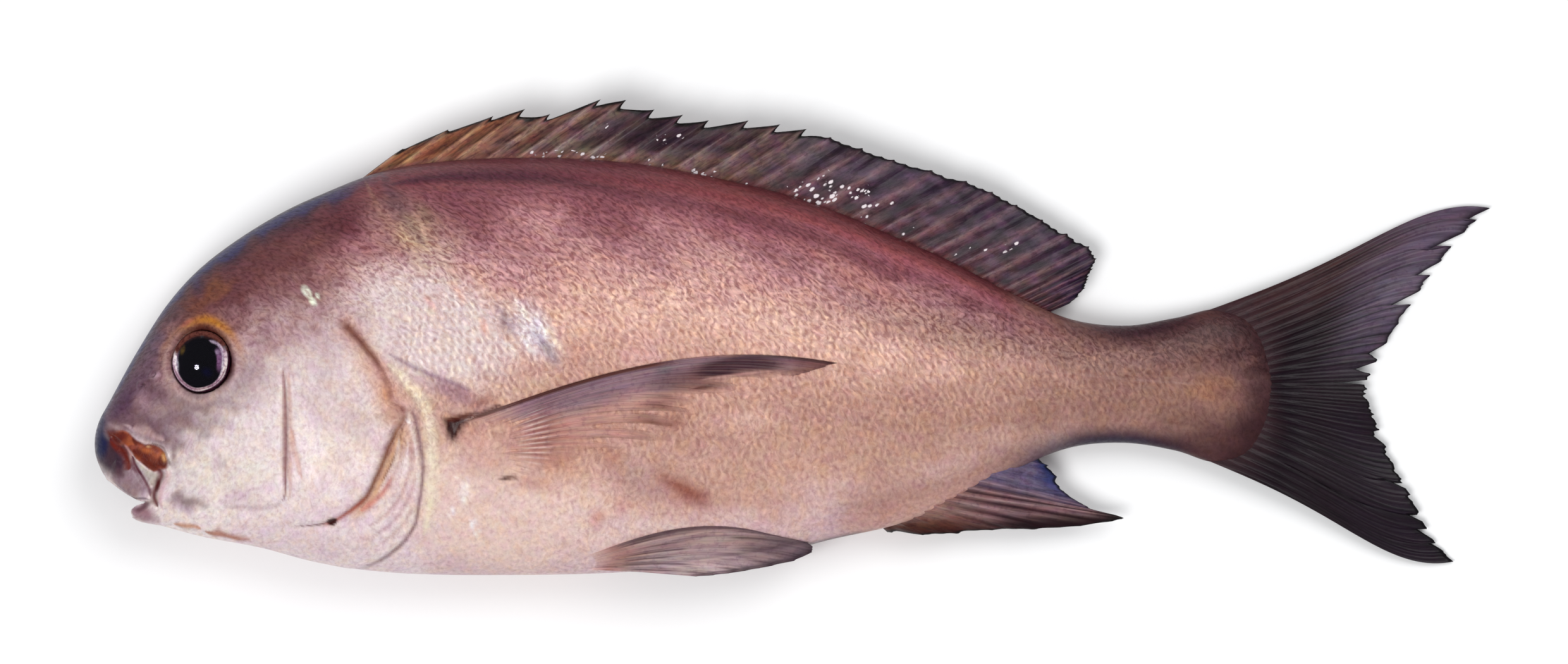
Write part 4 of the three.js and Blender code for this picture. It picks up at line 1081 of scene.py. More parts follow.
def cornea_material():
    g = Graph("cornea")
    place = g.place()
    film = g.noise(place, 220.0, 2.0)
    bump = g.bump(film, 0.08, 0.0004)
    sheen = {"Color": (0.7, 0.66, 0.9, 1), "Roughness": 0.04, "Normal": bump}
    glossy = g.node("BsdfGlossy", sheen)
    clear = g.node("BsdfTransparent", {"Color": (0.93, 0.95, 1.0, 1)})
    edge = g.node("Fresnel", {"IOR": 1.38, "Normal": bump}).outputs[0]
    both = g.node("MixShader", {0: edge, 1: clear.outputs[0], 2: glossy.outputs[0]})
    output = g.node("OutputMaterial")
    g.tree.links.new(both.outputs[0], output.inputs[0])
    return g.material


def floor_material():
    g = Graph("floor")
    place = g.place()
    cloud = g.noise(place, 3.0, 2.0)
    colour = g.mix(cloud, (0.88, 0.88, 0.885, 1), (0.91, 0.91, 0.91, 1))
    return g.finish(Base_Color=colour, Roughness=0.7)


# ---------------------------------------------------------------- meshes


def placed(points):
    return (np.asarray(points, float).reshape(-1, 3) + SHIFT) / 1000


def add_attribute(mesh, name, values):
    """A number, vector or colour for each vertex, by how many columns the values have."""
    values = np.asarray(values, np.float32)
    if name == "tint":
        attribute = mesh.attributes.new(name, "FLOAT_COLOR", "POINT")
        opaque_values = np.column_stack([values.reshape(-1, 3), np.ones(values.size // 3)])
        attribute.data.foreach_set("color", opaque_values.astype(np.float32).ravel())
    elif values.ndim > 1:
        attribute = mesh.attributes.new(name, "FLOAT_VECTOR", "POINT")
        attribute.data.foreach_set("vector", values.ravel())
    else:
        attribute = mesh.attributes.new(name, "FLOAT", "POINT")
        attribute.data.foreach_set("value", values)


def new_piece(name, points, faces, material, slot, node, **attributes):
    mesh = bpy.data.meshes.new(name)
    mesh.from_pydata(placed(points).tolist(), [], faces)
    for key, values in attributes.items():
        add_attribute(mesh, key, values)
    mesh.validate()
    mesh.shade_smooth()
    mesh.materials.append(material)
    piece = bpy.data.objects.new(name, mesh)
    bpy.context.scene.collection.objects.link(piece)
    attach(piece, "root")
    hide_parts(node)
    return piece


def grid_faces(rows, columns, wrap=False):
    """Quads of a grid of points; wrap joins the last column to the first."""
    across = np.arange(columns if wrap else columns - 1)
    r, c = np.meshgrid(np.arange(rows - 1), across, indexing="ij")
    after = (c + 1) % columns
    this, below = r * columns, (r + 1) * columns
    return np.stack([this + c, this + after, below + after, below + c], axis=-1).reshape(-1, 4)


def welded(points, faces, keep):
    """Joins points that lie together, and drops faces that collapse. keep holds their values."""
    _, first, same = np.unique(np.round(points, 4), axis=0, return_index=True, return_inverse=True)
    same = same.ravel()
    out = []
    for face in same[faces].tolist():
        ring = [a for k, a in enumerate(face) if a != face[k - 1]]
        if len(set(ring)) > 2:
            out.append(ring)
    return points[first], out, {key: values[first] for key, values in keep.items()}


# ---------------------------------------------------------------- the body


def ring_places():
    """Places of the rings along the loft: close on the head, wider on the trunk."""
    step = np.hypot(np.diff(STATION_TABLE[:, 0]), np.diff(STATION_TABLE[:, 1]))
    pace = np.where(STATION_T[1:] < SHOULDER_STATION, HEAD_STEP, TRUNK_STEP)
    done = np.concatenate([[0], np.cumsum(step / pace)])
    return np.interp(np.linspace(0, done[-1], int(done[-1]) + 1), done, STATION_T)


def even_angles(start, end, count):
    """Angles round a typical section that are evenly far apart along its skin."""
    fine = np.linspace(start, end, 2001)
    middle = (fine[1:] + fine[:-1]) / 2
    half_depth, half_width = (TYPICAL[1] - TYPICAL[3]) / 2, TYPICAL[4]
    steps = np.hypot(half_depth * np.sin(middle), half_width * np.cos(middle))
    done = np.concatenate([[0], np.cumsum(steps)])
    return np.interp(np.linspace(0, done[-1], count, endpoint=False), done, fine)


def plain_body(t, angle):
    x_top, y_top, x_low, y_low, width, height = np.moveaxis(station(t), -1, 0)
    c = np.cos(angle)
    raised = c + WIDEST_RISE * (1 - c * c)
    x = (x_top + x_low) / 2 + raised * (x_top - x_low) / 2
    y = (y_top + y_low) / 2 + raised * (y_top - y_low) / 2
    z = height + np.sign(np.sin(angle)) * oval_half(width, c)
    return np.stack([x, y, z], axis=-1), raised


def grid_normals(points):
    down = np.gradient(points, axis=0)
    ringed = np.concatenate([points[:, -1:], points, points[:, :1]], axis=1)
    across = (ringed[:, 2:] - ringed[:, :-2]) / 2
    normal = np.cross(across, down)
    return normal / np.maximum(np.linalg.norm(normal, axis=-1, keepdims=True), 1e-9)


SMOOTH_BREAST = (112, -34, 34, 28, 0, 0.4)  # where the skin is smooth and plain


def scale_strength(x, y, raised):
    """How clearly the scales show."""
    behind = np.maximum(smooth(-1, 3, -rim_gap(x, y, MEMBRANE_EDGE)[0]) * smooth(84, 92, x),
                        smooth(-2, 4, (x - 77) + 0.55 * (y - 58)) * smooth(10, 24, y))
    by_height = np.interp(
        raised, (-1, -0.7, -0.3, 0.2, 0.5, 0.8, 1), (0.0, 0.25, 0.6, 1, 0.7, 0.35, 0.1))
    smooth_parts = 1 - 0.8 * blob(x, y, *SMOOTH_BREAST)
    smooth_parts *= 1 - 0.6 * line(x, y, SHOULDER_BAND, 6.0)
    return behind * by_height * smooth_parts * smooth(325, 300, x)


def mottle_strength(x, y, raised):
    """How strong the light and dark dashes of the skin are."""
    trunk = np.interp(
        raised, (-1, -0.6, -0.2, 0.2, 0.45, 0.75, 1), (0.25, 0.32, 0.42, 0.5, 0.95, 0.85, 0.5))
    trunk *= 1 - 0.5 * blob(x, y, *SMOOTH_BREAST)
    trunk *= 1 - 0.45 * blob(x, y, 97, 17, 30, 22, -20, 0.4)
    head = np.interp(y - 0.42 * x, (-40, -15, 0, 12), (0.2, 0.25, 0.65, 0.6))
    behind = smooth(72, 92, x + 0.3 * y)
    return behind * trunk + (1 - behind) * head


def build_body(skin, mouth):
    places = ring_places()
    angles = np.concatenate([
        even_angles(0, math.pi, LEFT_SIDES),
        even_angles(math.pi, 2 * math.pi, RIGHT_SIDES),
    ])
    t, angle = np.meshgrid(places, angles, indexing="ij")
    points, raised = plain_body(t, angle)
    normal = grid_normals(points)
    x, y = points[..., 0], points[..., 1]
    facing = np.sqrt(np.abs(np.sin(angle)))
    points = points + (facing * skin_relief(x, y, raised))[..., None] * normal
    eye_off = np.full(x.shape, 99.0)
    for side in (1, -1):
        sunk, radius = socket_depth(points, side)
        points = points - sunk[..., None] * eye_frame(side)[1]
        eye_off = np.minimum(eye_off, radius)
    points[..., 2] = np.maximum(points[..., 2], 0)

    paint = paint_trunk(x, y, raised)
    paint_head(paint, x, y)
    paint_tail_root(paint, x, y, raised)
    paint_gills(paint, x, y)
    paint_mouth(paint, x, y)
    paint_eye_rim(paint, eye_off, x, y)

    along_skin, up_skin = skin_place(x, raised)
    flank = np.stack([along_skin, up_skin, 200.0 * (np.sin(angle) < 0)], axis=-1)
    keep = {
        "tint": paint.colour.reshape(-1, 3),
        "scaly": scale_strength(x, y, raised).ravel(),
        "mottled": mottle_strength(x, y, raised).ravel(),
        "flank": flank.reshape(-1, 3),
    }
    corners, faces, keep = welded(
        points.reshape(-1, 3), grid_faces(len(places), len(angles), wrap=True), keep)
    head = new_piece("head", corners, faces, skin, "skin", "fish", **keep)
    head.data.materials.append(mouth)
    cut_mouth(head, mouth)
    trunk = head.copy()
    trunk.data = head.data.copy()
    trunk.name = trunk.data.name = "trunk"
    bpy.context.scene.collection.objects.link(trunk)
    seam_x = placed(station(np.array([SHOULDER_STATION]))[:, [0, 1, 5]])[0, 0]
    keep_part(head, lambda x: x < seam_x)
    keep_part(trunk, lambda x: x >= seam_x)
    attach(trunk, "root")
    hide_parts("fish")


def keep_part(piece, wanted):
    """Keeps the faces whose middle has a wanted x, with the shading of the whole mesh."""
    mesh = bmesh.new()
    mesh.from_mesh(piece.data)
    drop = [face for face in mesh.faces if not wanted(face.calc_center_median().x)]
    bmesh.ops.delete(mesh, geom=drop, context="FACES")
    mesh.to_mesh(piece.data)
    mesh.free()
    normals = np.empty(len(piece.data.vertices) * 3, np.float32)
    piece.data.attributes["whole_normal"].data.foreach_get("vector", normals)
    piece.data.normals_split_custom_set_from_vertices(normals.reshape(-1, 3).tolist())


def cut_mouth(body, mouth):
    """Opens the gap between the lips, with the mouth's own skin on its walls."""
    outline = MOUTH_OUTLINE
    count = len(outline)
    depth = 60.0
    points = [(x, y, z) for z in (-10.0, depth) for x, y in outline]
    faces = [list(range(count)), list(range(2 * count - 1, count - 1, -1))]
    faces += [[k, k + count, (k + 1) % count + count, (k + 1) % count] for k in range(count)]
    mesh = bpy.data.meshes.new("wedge")
    mesh.from_pydata(placed(points).tolist(), [], faces)
    mesh.materials.append(mouth)
    wedge = bpy.data.objects.new("wedge", mesh)
    bpy.context.scene.collection.objects.link(wedge)
    cut = body.modifiers.new("mouth", "BOOLEAN")
    cut.operation = "DIFFERENCE"
    cut.solver = "MANIFOLD"
    cut.object = wedge
    apply_modifiers(body)
    bpy.data.objects.remove(wedge)
    normals = np.empty(len(body.data.vertices) * 3, np.float32)
    body.data.vertex_normals.foreach_get("vector", normals)
    add_attribute(body.data, "whole_normal", normals.reshape(-1, 3))


def apply_modifiers(piece):
    graph = bpy.context.evaluated_depsgraph_get()
    mesh = bpy.data.meshes.new_from_object(piece.evaluated_get(graph))
    piece.modifiers.clear()
    old = piece.data
    piece.data = mesh
    bpy.data.meshes.remove(old)


# ---------------------------------------------------------------- fins


def ray_points(roots, tips, bow, v):
    """Points on rays that bow sideways; v is 0 at the root and 1 at the edge."""
    d = tips - roots
    length = np.maximum(np.hypot(d[..., 0], d[..., 1]), 1e-6)
    x = roots[..., 0] + v * d[..., 0] - bow * d[..., 1] / length
    y = roots[..., 1] + v * d[..., 1] + bow * d[..., 0] / length
    return x, y


def cut_back(roots, tips, notch):
    d = tips - roots
    length = np.maximum(np.hypot(d[..., 0], d[..., 1]), 1e-6)
    return roots + np.clip(1 - notch / length, 0.25, 1)[..., None] * d


def ray_columns(rays, shares):
    """Places of a fin's columns, counted in rays, with more columns next to each ray."""
    places = np.concatenate([[ray + s for s in shares] for ray in range(rays)] + [[rays]])
    return places.astype(float)


def ridge(u, width):
    """1 on a ray and 0 between the rays."""
    off = np.abs(u - np.round(u))
    return bell(off, width)


def ribbed(u, branch, width, fine):
    """Relief of rays of a width that split into two finer ones where branch is 1."""
    return (1 - branch) * ridge(u, width) + branch * ridge(2 * u + 0.5, fine) * 0.7


def fin_grid(places, rows):
    """Places across the rays, places along them from 0 to 1, and how far on from the last ray."""
    u, v = np.meshgrid(places, rows, indexing="ij")
    return u, v, u - np.floor(u)


def sheet(name, u, v, x, y, upper, lower, paint, material, **values):
    """A closed sheet between two faces of points on the same grid of columns and rows."""
    shape = x.shape
    points = np.concatenate([
        np.stack([x, y, upper], axis=-1).reshape(-1, 3),
        np.stack([x, y, lower], axis=-1).reshape(-1, 3),
    ])
    flat = grid_faces(*shape)
    count = x.size
    ids = np.arange(count).reshape(shape)
    rim = np.concatenate([ids[0, :], ids[1:, -1], ids[-1, -2::-1], ids[-2:0:-1, 0]])
    after = np.roll(rim, -1)
    walls = np.stack([rim, after, after + count, rim + count], axis=-1)
    faces = np.concatenate([flat[:, ::-1], flat + count, walls])
    rays = np.stack([u, v, np.zeros(shape)], axis=-1).reshape(-1, 3)
    keep = {
        "tint": np.tile(paint.colour.reshape(-1, 3), (2, 1)),
        "rays": np.concatenate([rays, rays + (0, 0, 5.0)]),
    }
    for key, value in values.items():
        keep[key] = np.tile(value.reshape(-1, *value.shape[2:]), (2, 1) if value.ndim > 2 else 2)
    return new_piece(name, points, faces.tolist(), material, "fin", "fish", **keep)


# Columns of points from one ray to the next, as shares of the space between them.
SPINE_SHARES = (0.0, 0.04, 0.09, 0.16, 0.26, 0.4, 0.56, 0.72, 0.84, 0.92, 0.97)
RAY_SHARES = (0.0, 0.06, 0.13, 0.22, 0.34, 0.45, 0.5, 0.55, 0.66, 0.78, 0.87, 0.94)
# Rows of points from the root of a fin to its edge.
BACK_FIN_ROWS = 34
TAIL_FIN_ROWS = 56
VENT_FIN_ROWS = 30
LAID_FIN_ROWS = 60
LAST_SPINE_LEAN = 33.0  # degrees above the fish's axis, between the first and last rays


def back_fin_roots(edge, lean):
    """Where rays that lean by given angles, from the edge down, reach their depth in the back."""
    low, high = np.zeros(lean.shape), np.full(lean.shape, 60.0)
    for _ in range(24):
        reach = (low + high) / 2
        x, y = edge[..., 0] - reach * np.cos(lean), edge[..., 1] - reach * np.sin(lean)
        deep = y < station_at(x, 1) - BACK_FIN_DEPTH
        low, high = np.where(deep, low, reach), np.where(deep, reach, high)
    return np.stack([x, y], axis=-1)


def build_back_fin(material):
    spines = len(SPINE_TIPS)
    tips = np.vstack([SPINE_TIPS, along(SOFT_FIN_EDGE, np.linspace(0, 1, SOFT_RAYS))])
    last = len(tips) - 1
    soft = spines + ray_columns(last - spines, RAY_SHARES)
    places = np.concatenate([ray_columns(spines, SPINE_SHARES)[:-1], soft])
    u, v, part = fin_grid(places, np.linspace(0, 1, BACK_FIN_ROWS))
    spiny = 1 - smooth(spines - 1.2, spines + 0.2, u)
    edge = spline(tips, u)
    lean = np.interp(u, (0, spines, last), (SPINE_LEAN, LAST_SPINE_LEAN, LAST_RAY_LEAN))
    roots = back_fin_roots(edge, np.radians(lean))
    rising = np.sin(np.clip(part / 0.2, 0, 1) * math.pi / 2)
    behind = np.where(part < 0.2, rising, ((1 - part) / 0.8) ** 0.8)
    notch = spiny * SPINE_NOTCH * (0.25 + 0.75 * smooth(0, 5, u)) * behind
    fringe = 0.6 * np.sin(math.pi * part) ** 0.7
    fringe += 0.5 * np.abs(np.sin(3 * math.pi * part)) ** 0.7
    notch += (1 - spiny) * (fringe + 0.25 * np.abs(ripples(u * 3.1, u, 3.0, 41)))
    edge = cut_back(roots, edge, notch)
    x, y = ray_points(roots, edge, 0.0, v)
    thick = 0.95 - 0.6 * v
    branch = smooth(0.45, 0.85, v) * (1 - spiny)
    ribs = ribbed(u, branch, 0.13 + 0.07 * (1 - spiny), 0.3)
    half = thick * (0.24 + 0.76 * ribs)
    wave = 0.5 * v * np.sin(u * 2.1) + 0.25 * v * ripples(u, v * 4, 3.0, 42)
    middle = mid_height(x) - UPRIGHT_DROOP * v**2 + wave

    shown = (y - station_at(x, 1)) / np.maximum(edge[..., 1] - station_at(x, 1), 1)
    paint = Paint(x.shape, rgb(126, 92, 86))
    front, rear = 1 - smooth(2.5, 7.5, u), smooth(10.0, 16.0, u)
    between = (1 - front) * (1 - rear)
    paint.marks(x, y, [
        (front, 146, 92, 66, 0.9), (rear, 80, 54, 64, 0.9),
        (rear * smooth(0.35, 0.95, shown), 58, 42, 64, 0.85),
        (between * np.clip(0.5 + ripples(x, y, 6, 44), 0, 1), 138, 120, 100, 0.5),
        ((1 - front) * np.clip(ripples(x, y, 7, 45), 0, 1), 104, 76, 98, 0.5),
    ])
    light = ridge(u - 0.05, 0.13) * (1 - 0.5 * smooth(0.4, 1, shown))
    paint.marks(x, y, [
        (front * light, 206, 160, 126, 0.75), (between * light, 190, 164, 158, 0.7),
        (rear * light, 140, 106, 110, 0.75),
    ])
    # The dark lines just before each spine are painted shadows of the spines on the membrane.
    dark = np.maximum(ridge(u + 0.2, 0.10), 0.6 * ridge(u + 0.45, 0.07))
    broken = np.clip(0.8 + 0.5 * ripples(u * 2, v * 8, 3.0, 46), 0, 1)
    paint.marks(x, y, [
        (dark * spiny * broken, 44, 22, 26, 0.85),
        ((1 - spiny) * ridge(u + 0.42, 0.2) * broken, 34, 24, 36, 0.75),
        ((1 - front) * blob(u, shown, 9.4, 0.7, 4.0, 0.7, 0, 0.2), 44, 30, 46, 0.85),
        (smooth(0.6, 1, shown) * smooth(25, 31, u), 58, 52, 92, 0.7),
        (smooth(26, 31, u), 66, 44, 56, 0.6),
        (smooth(0.16, 0.0, shown) * smooth(8, 16, u), 112, 60, 60, 0.85),
        (smooth(0.14, 0.0, shown) * smooth(16, 8, u), 170, 116, 104, 0.6),
    ])
    past = np.hypot(x - edge[..., 0], y - edge[..., 1])
    rim = 1 - smooth(0.5, 1.5, past - 0.6 * np.abs(ripples(u, v, 0.8, 43)) * spiny)
    paint.lay(rgb(22, 16, 24), 0.95 * rim)
    # Where the fin shows beads that are painted white as highlights.
    wet = 0.95 * blob(x, y, 212, 54.5, 21, 9.5, -20, 0.45)
    for spots in BEAD_GLINT_ROWS:
        wet = np.maximum(wet, line(x, y, spots, 2.1, ends=0.05))
    wet = np.maximum(wet, 0.4 * blob(x, y, 145, 75, 5, 3) + 0.3 * blob(x, y, 165, 71, 8, 3))
    wet *= np.clip(0.85 + ripples(x, y, 12, 47), 0, 1)
    return sheet("back_fin", u, v, x, y, middle + half, middle - half, paint, material, wet=wet)


def build_tail_fin(material):
    places = ray_columns(TAIL_RAYS, RAY_SHARES)
    u, v, part = fin_grid(places, np.linspace(0, 1, TAIL_FIN_ROWS) ** 0.9)
    share = u / TAIL_RAYS
    roots = along(TAIL_ROOTS, share)
    notch = 0.5 * np.sin(math.pi * part) ** 0.7 + 0.5 * np.abs(ripples(u * 2.3, u, 2.0, 51))
    for ray, depth, width in TAIL_SPLITS:
        notch += depth * np.clip(1 - np.abs(u - ray - 0.5) / width, 0, 1) ** 0.8
    edge = cut_back(roots, along(TAIL_EDGE, share), notch)
    outer = np.abs(1 - 2 * share)
    bow = TAIL_BULGE * np.sign(1 - 2 * share) * outer**1.7 * 12.2 * v**4 * (1 - v)
    x, y = ray_points(roots, edge, bow, v)
    thick = 0.5 * smooth(0.4, 0.1, v) + 0.8 - 0.5 * v
    branch = smooth(0.25, 0.6, v)
    ribs = (1 - branch) * ridge(u, 0.2) + branch * ridge(3 * u, 0.3) * 0.7
    ribs = 0.5 + (ribs - 0.5) * smooth(0.08, 0.35, v)
    half = thick * (0.45 + 0.55 * ribs)
    middle = mid_height(x) + 0.35 * v * ripples(u, v * 3, 5.0, 52)

    paint = Paint(x.shape, rgb(40, 27, 34))
    out = smooth(0.45, 0.9, v)
    outer_rays = smooth(0.8, 0.97, share) + 1 - smooth(0.05, 0.2, share)
    dark = ridge(2 * u + 1.0, 0.12) * smooth(0.3, 0.6, v)
    paint.marks(x, y, [
        (smooth(0.3, 0.04, share), 72, 50, 52, 0.9),
        (smooth(0.5, 0.95, v) * smooth(0.3, 0.1, share), 104, 88, 108, 0.8),
        (out * smooth(0.06, 0.2, share) * smooth(0.5, 0.36, share), 106, 92, 110, 0.85),
        (smooth(0.6, 0.2, v) * smooth(0.12, 0.3, share), 36, 26, 34, 0.9),
        (out * smooth(0.5, 0.65, share), 50, 40, 54, 0.7),
        (smooth(0.25, 0.0, v) * outer_rays, 62, 42, 46, 0.6),
        (smooth(0.3, 0.45, share), 36, 27, 35, 0.6),
        (dark * np.clip(ripples(u, v, 3.0, 53), 0, 1), 24, 17, 24, 0.8),
        (smooth(0.96, 1, v), 22, 17, 24, 0.8), (smooth(0.34, 0.06, v), 64, 43, 47, 0.9),
    ])
    return sheet("tail_fin", u, v, x, y, middle + half, middle - half, paint, material)


def build_vent_fin(material):
    places = ray_columns(VENT_RAYS, RAY_SHARES)
    u, v, part = fin_grid(places[::-1], np.linspace(0, 1, VENT_FIN_ROWS))
    share = u / VENT_RAYS
    roots = along(VENT_FIN_ROOTS, share)
    notch = 0.9 * np.sin(math.pi * part) ** 0.7 + 0.4 * np.abs(ripples(u * 2.9, u, 3.0, 61))
    edge = cut_back(roots, along(VENT_FIN_EDGE, share), notch)
    x, y = ray_points(roots, edge, 0.0, v)
    thick = 0.9 - 0.55 * v
    branch = smooth(0.4, 0.8, v)
    ribs = ribbed(u, branch, 0.18, 0.28)
    half = thick * (0.3 + 0.7 * ribs)
    half += VENT_FIN_FLESH * smooth(0.6, 0, v) ** 1.5 * smooth(1, 0.75, share)
    middle = mid_height(x) - UPRIGHT_DROOP * v**2 + 0.3 * v * np.sin(u * 1.9)

    paint = Paint(x.shape, rgb(116, 84, 88))
    fan = smooth(238, 262, x + 0.8 * (y + 38))
    light = (1 - branch) * ridge(u, 0.2) + branch * ridge(2 * u + 0.5, 0.26)
    paint.marks(x, y, [
        ((1 - fan), 176, 132, 120, 0.95), (light * fan, 186, 150, 152, 0.75),
        (252, -31, 10, 5, -6, 0, 150, 112, 108, 0.6),
        (ridge(u + 0.45, 0.2) * fan, 48, 30, 36, 0.75),
        (smooth(0.55, 0.75, share) * fan, 112, 104, 134, 0.8),
        (smooth(0.6, 0.85, share) * smooth(0.45, 0.9, v), 44, 56, 108, 0.9),
    ])
    low = 1 - smooth(3.0, 8.5, y + 43.0)
    paint.marks(x, y, [
        (low * smooth(262, 245, x), 104, 62, 50, 0.85),
        (smooth(6.5, 0.5, y + 43.0 - 0.02 * (x - 240)), 56, 30, 30, 0.95),
        (low * smooth(252, 268, x), 40, 26, 32, 0.95),
    ])
    past = np.hypot(x - edge[..., 0], y - edge[..., 1])
    paint.marks(x, y, [
        (smooth(1.4, 0.4, past), 22, 15, 19, 0.9), (smooth(284, 294, x), 22, 15, 19, 0.8),
    ])
    return sheet("vent_fin", u, v, x, y, middle + half, middle - half, paint, material)


def laid_fin(
        name, side, rays, base, edge_line, bulge, drop, lift, painter, cover_of, material, seed):
    """A fin laid back on a flank: side is 1 on the upper flank and -1 on the lower one."""
    places = ray_columns(rays, RAY_SHARES)
    u, v, part = fin_grid(places, np.linspace(0, 1, LAID_FIN_ROWS))
    share = u / rays
    roots = along(base, share)
    notch = 0.8 * np.sin(math.pi * part) ** 0.7 + 1.0 * np.abs(ripples(u * 2.7, u, 3.0, seed))
    edge = cut_back(roots, along(edge_line, share), notch)
    x, y = ray_points(roots, edge, 4.8 * bulge * (1 - share) * v**1.3 * (1 - v), v)
    y = y - drop * v
    branch = smooth(0.3, 0.65, v)
    ribs = ribbed(u, branch, 0.22, 0.3)
    raised = raised_at(x, y)
    flank = flank_half(x, y) + skin_relief(x, y, raised) * smooth(1, 0.8, np.abs(raised))
    cover = cover_of(x, y, u, v, share)
    body = smooth(0.03, 0.16, v) * (0.45 + 0.55 * np.sin(math.pi * np.clip(v, 0, 1)) ** 0.7)
    outer = flank + 0.05 - 0.3 * smooth(0.3, 0, cover) + lift * body * (0.1 + 0.9 * cover)
    outer += cover * 0.38 * ribs * smooth(0.1, 0.25, v) * (1 - 0.6 * v)
    outer += cover * 0.12 * v * ripples(u, v * 6, 3.0, seed + 1)
    top = mid_height(x) + side * outer
    bottom = mid_height(x) + side * (flank - LAID_FIN_DEPTH)
    low, high = np.minimum(top, bottom), np.maximum(top, bottom)
    low = np.maximum(low, 0.0)
    high = np.maximum(high, low + 0.3)
    fin = painter(x, y, u, v, share, ribs)
    paint = paint_trunk(x, y, raised)
    paint_gills(paint, x, y)
    paint.lay(fin.colour, cover)
    along_skin, up_skin = skin_place(x, raised)
    return sheet(
        name, u, v, x, y, high, low, paint, material, cover=cover,
        scaly=scale_strength(x, y, raised), mottled=mottle_strength(x, y, raised),
        flank=np.stack([along_skin, up_skin, np.full(x.shape, 100.0 - 100.0 * side)], axis=-1),
    )


# How far below its upper edge the breast fin hides the flank, by x.
BREAST_FIN_SHOWN = [
    (106, 8), (124, 18), (135, 18), (146, 16), (160, 18), (172, 18), (185, 12), (200, 6), (213, 4),
]
FAN_X = 121.5  # where its rays come out of the fleshy base


def below_breast_top(x, y):
    return np.interp(x, x[0], y[0]) - y


def paint_breast_fin(x, y, u, v, share, ribs):
    below = below_breast_top(x, y)
    gaps = 0.55 + 0.45 * ridge(u + 0.4, 0.2)
    paint = Paint(x.shape, rgb(196, 150, 138))
    paint.marks(x, y, [
        (smooth(11, 4, below) * smooth(112, 128, x), 156, 124, 134, 0.95),
        (smooth(4, 0, below) * smooth(120, 134, x), 122, 100, 112, 0.5),
        (146, -2, 20, 5, 18, 0, 146, 118, 128, 0.6),
        ((1 - ribs) * blob(x, y, 133, -17, 14, 13, 0, 0.3), 184, 122, 112, 0.7),
        (138, -22, 14, 5, -14, 0, 172, 112, 88, 0.6),
        (ridge(u + 0.5, 0.2) * blob(x, y, 129.5, -12, 6, 10, 0, 0.3), 132, 82, 80, 0.7),
        (ridge(u, 0.15) * blob(x, y, 127.5, -15, 6, 12, 0, 0.35), 234, 204, 196, 0.85),
        (160, -11, 16, 7, 8, 0, 186, 140, 124, 0.6),
        (gaps * blob(x, y, 166, -8.0, 15, 9.5, 8, 0.3), 108, 62, 52, 0.97),
        (167, 1.5, 13, 5, 10, 0, 100, 76, 84, 0.7), (166, 3, 12, 4, 12, 0, 124, 96, 104, 0.7),
        (164, 5, 5, 2, 12, 0, 92, 96, 100, 0.5), (184, 2.6, 24, 6.5, 4, 0.3, 120, 74, 66, 0.8),
        (185, 5.6, 16, 4.0, 4, 0.55, 68, 40, 50, 0.97),
        ([(172, -0.4), (182, 1.2), (194, 2.8)], 1.6, 0.3, 84, 44, 42, 0.85),
        ([(164, 8.4), (176, 9.4), (186, 9.0)], 1.5, 0.4, 170, 118, 104, 0.7),
        (ridge(u, 0.12) * smooth(164, 176, x), 176, 134, 126, 0.16),
        ([(174, 2.2), (184, 3.6), (194, 4.8)], 0.7, 0.3, 196, 150, 146, 0.7),
        ([(190, 2.8), (199, 4.2), (208, 5.6)], 1.3, 0.3, 84, 48, 44, 0.8),
        (smooth(194, 207, x), 124, 80, 72, 0.8),
        (smooth(1.5, 0.6, below) * smooth(104, 110, x) * smooth(172, 160, x), 90, 50, 44, 0.95),
        (smooth(1.0, 0.4, below) * smooth(176, 190, x), 60, 34, 36, 0.8),
    ])
    return paint


def breast_fin_cover(x, y, u, v, share):
    """How much of the flank a breast fin hides. Its lower part is so thin that the flank shows."""
    below = below_breast_top(x, y)
    reach = np.interp(x, *zip(*BREAST_FIN_SHOWN))
    reach = reach * (1 + 0.16 * ripples(u * 2, v * 2, 3.0, 72) * smooth(130, 150, x))
    past_fan = x - FAN_X + 14 * smooth(6, 0, below) + 0.02 * (y + 16) ** 2
    start = smooth(-2, 7, past_fan + 1.5 * ripples(u, u, 2.0, 73))
    tips = 1 - smooth(0.8, 0.97, v + 0.04 * ripples(u * 2, v, 3.0, 74)) * smooth(0.06, 0.2, share)
    return start * tips * smooth(1.35, 0.75, below / reach)


def paint_belly_fin(x, y, u, v, share, ribs):
    paint = Paint(x.shape, rgb(178, 148, 146))
    paint.marks(x, y, [
        (smooth(0.36, 0.04, v), 178, 118, 100, 0.9),
        (smooth(0.3, 0.7, share) * smooth(0.25, 0.5, v), 196, 174, 176, 0.7),
        (smooth(0.12, 0.03, share) * smooth(0.12, 0.3, v), 84, 60, 66, 0.85),
    ])
    dark = (ridge(u + 0.38, 0.14) + 0.7 * ridge(u + 0.7, 0.08)) * smooth(0.1, 0.3, v)
    paint.marks(x, y, [
        (dark * np.clip(0.6 + ripples(u, v * 4, 2.2, 91), 0, 1), 78, 52, 58, 0.8),
        (smooth(0.66, 0.9, v) * smooth(0.8, 0.4, share), 104, 84, 92, 0.8),
        (smooth(0.93, 1, v), 70, 58, 66, 0.8),
    ])
    return paint


def belly_fin_cover(x, y, u, v, share):
    return smooth(0.0, 0.2, v)


# ---------------------------------------------------------------- eyes


def turned_to(axis):
    """Matrix whose columns are two directions across an axis and the axis itself."""
    across = np.cross((0.0, 1.0, 0.0), axis)
    across /= np.linalg.norm(across)
    return np.stack([across, np.cross(axis, across), axis], axis=-1)


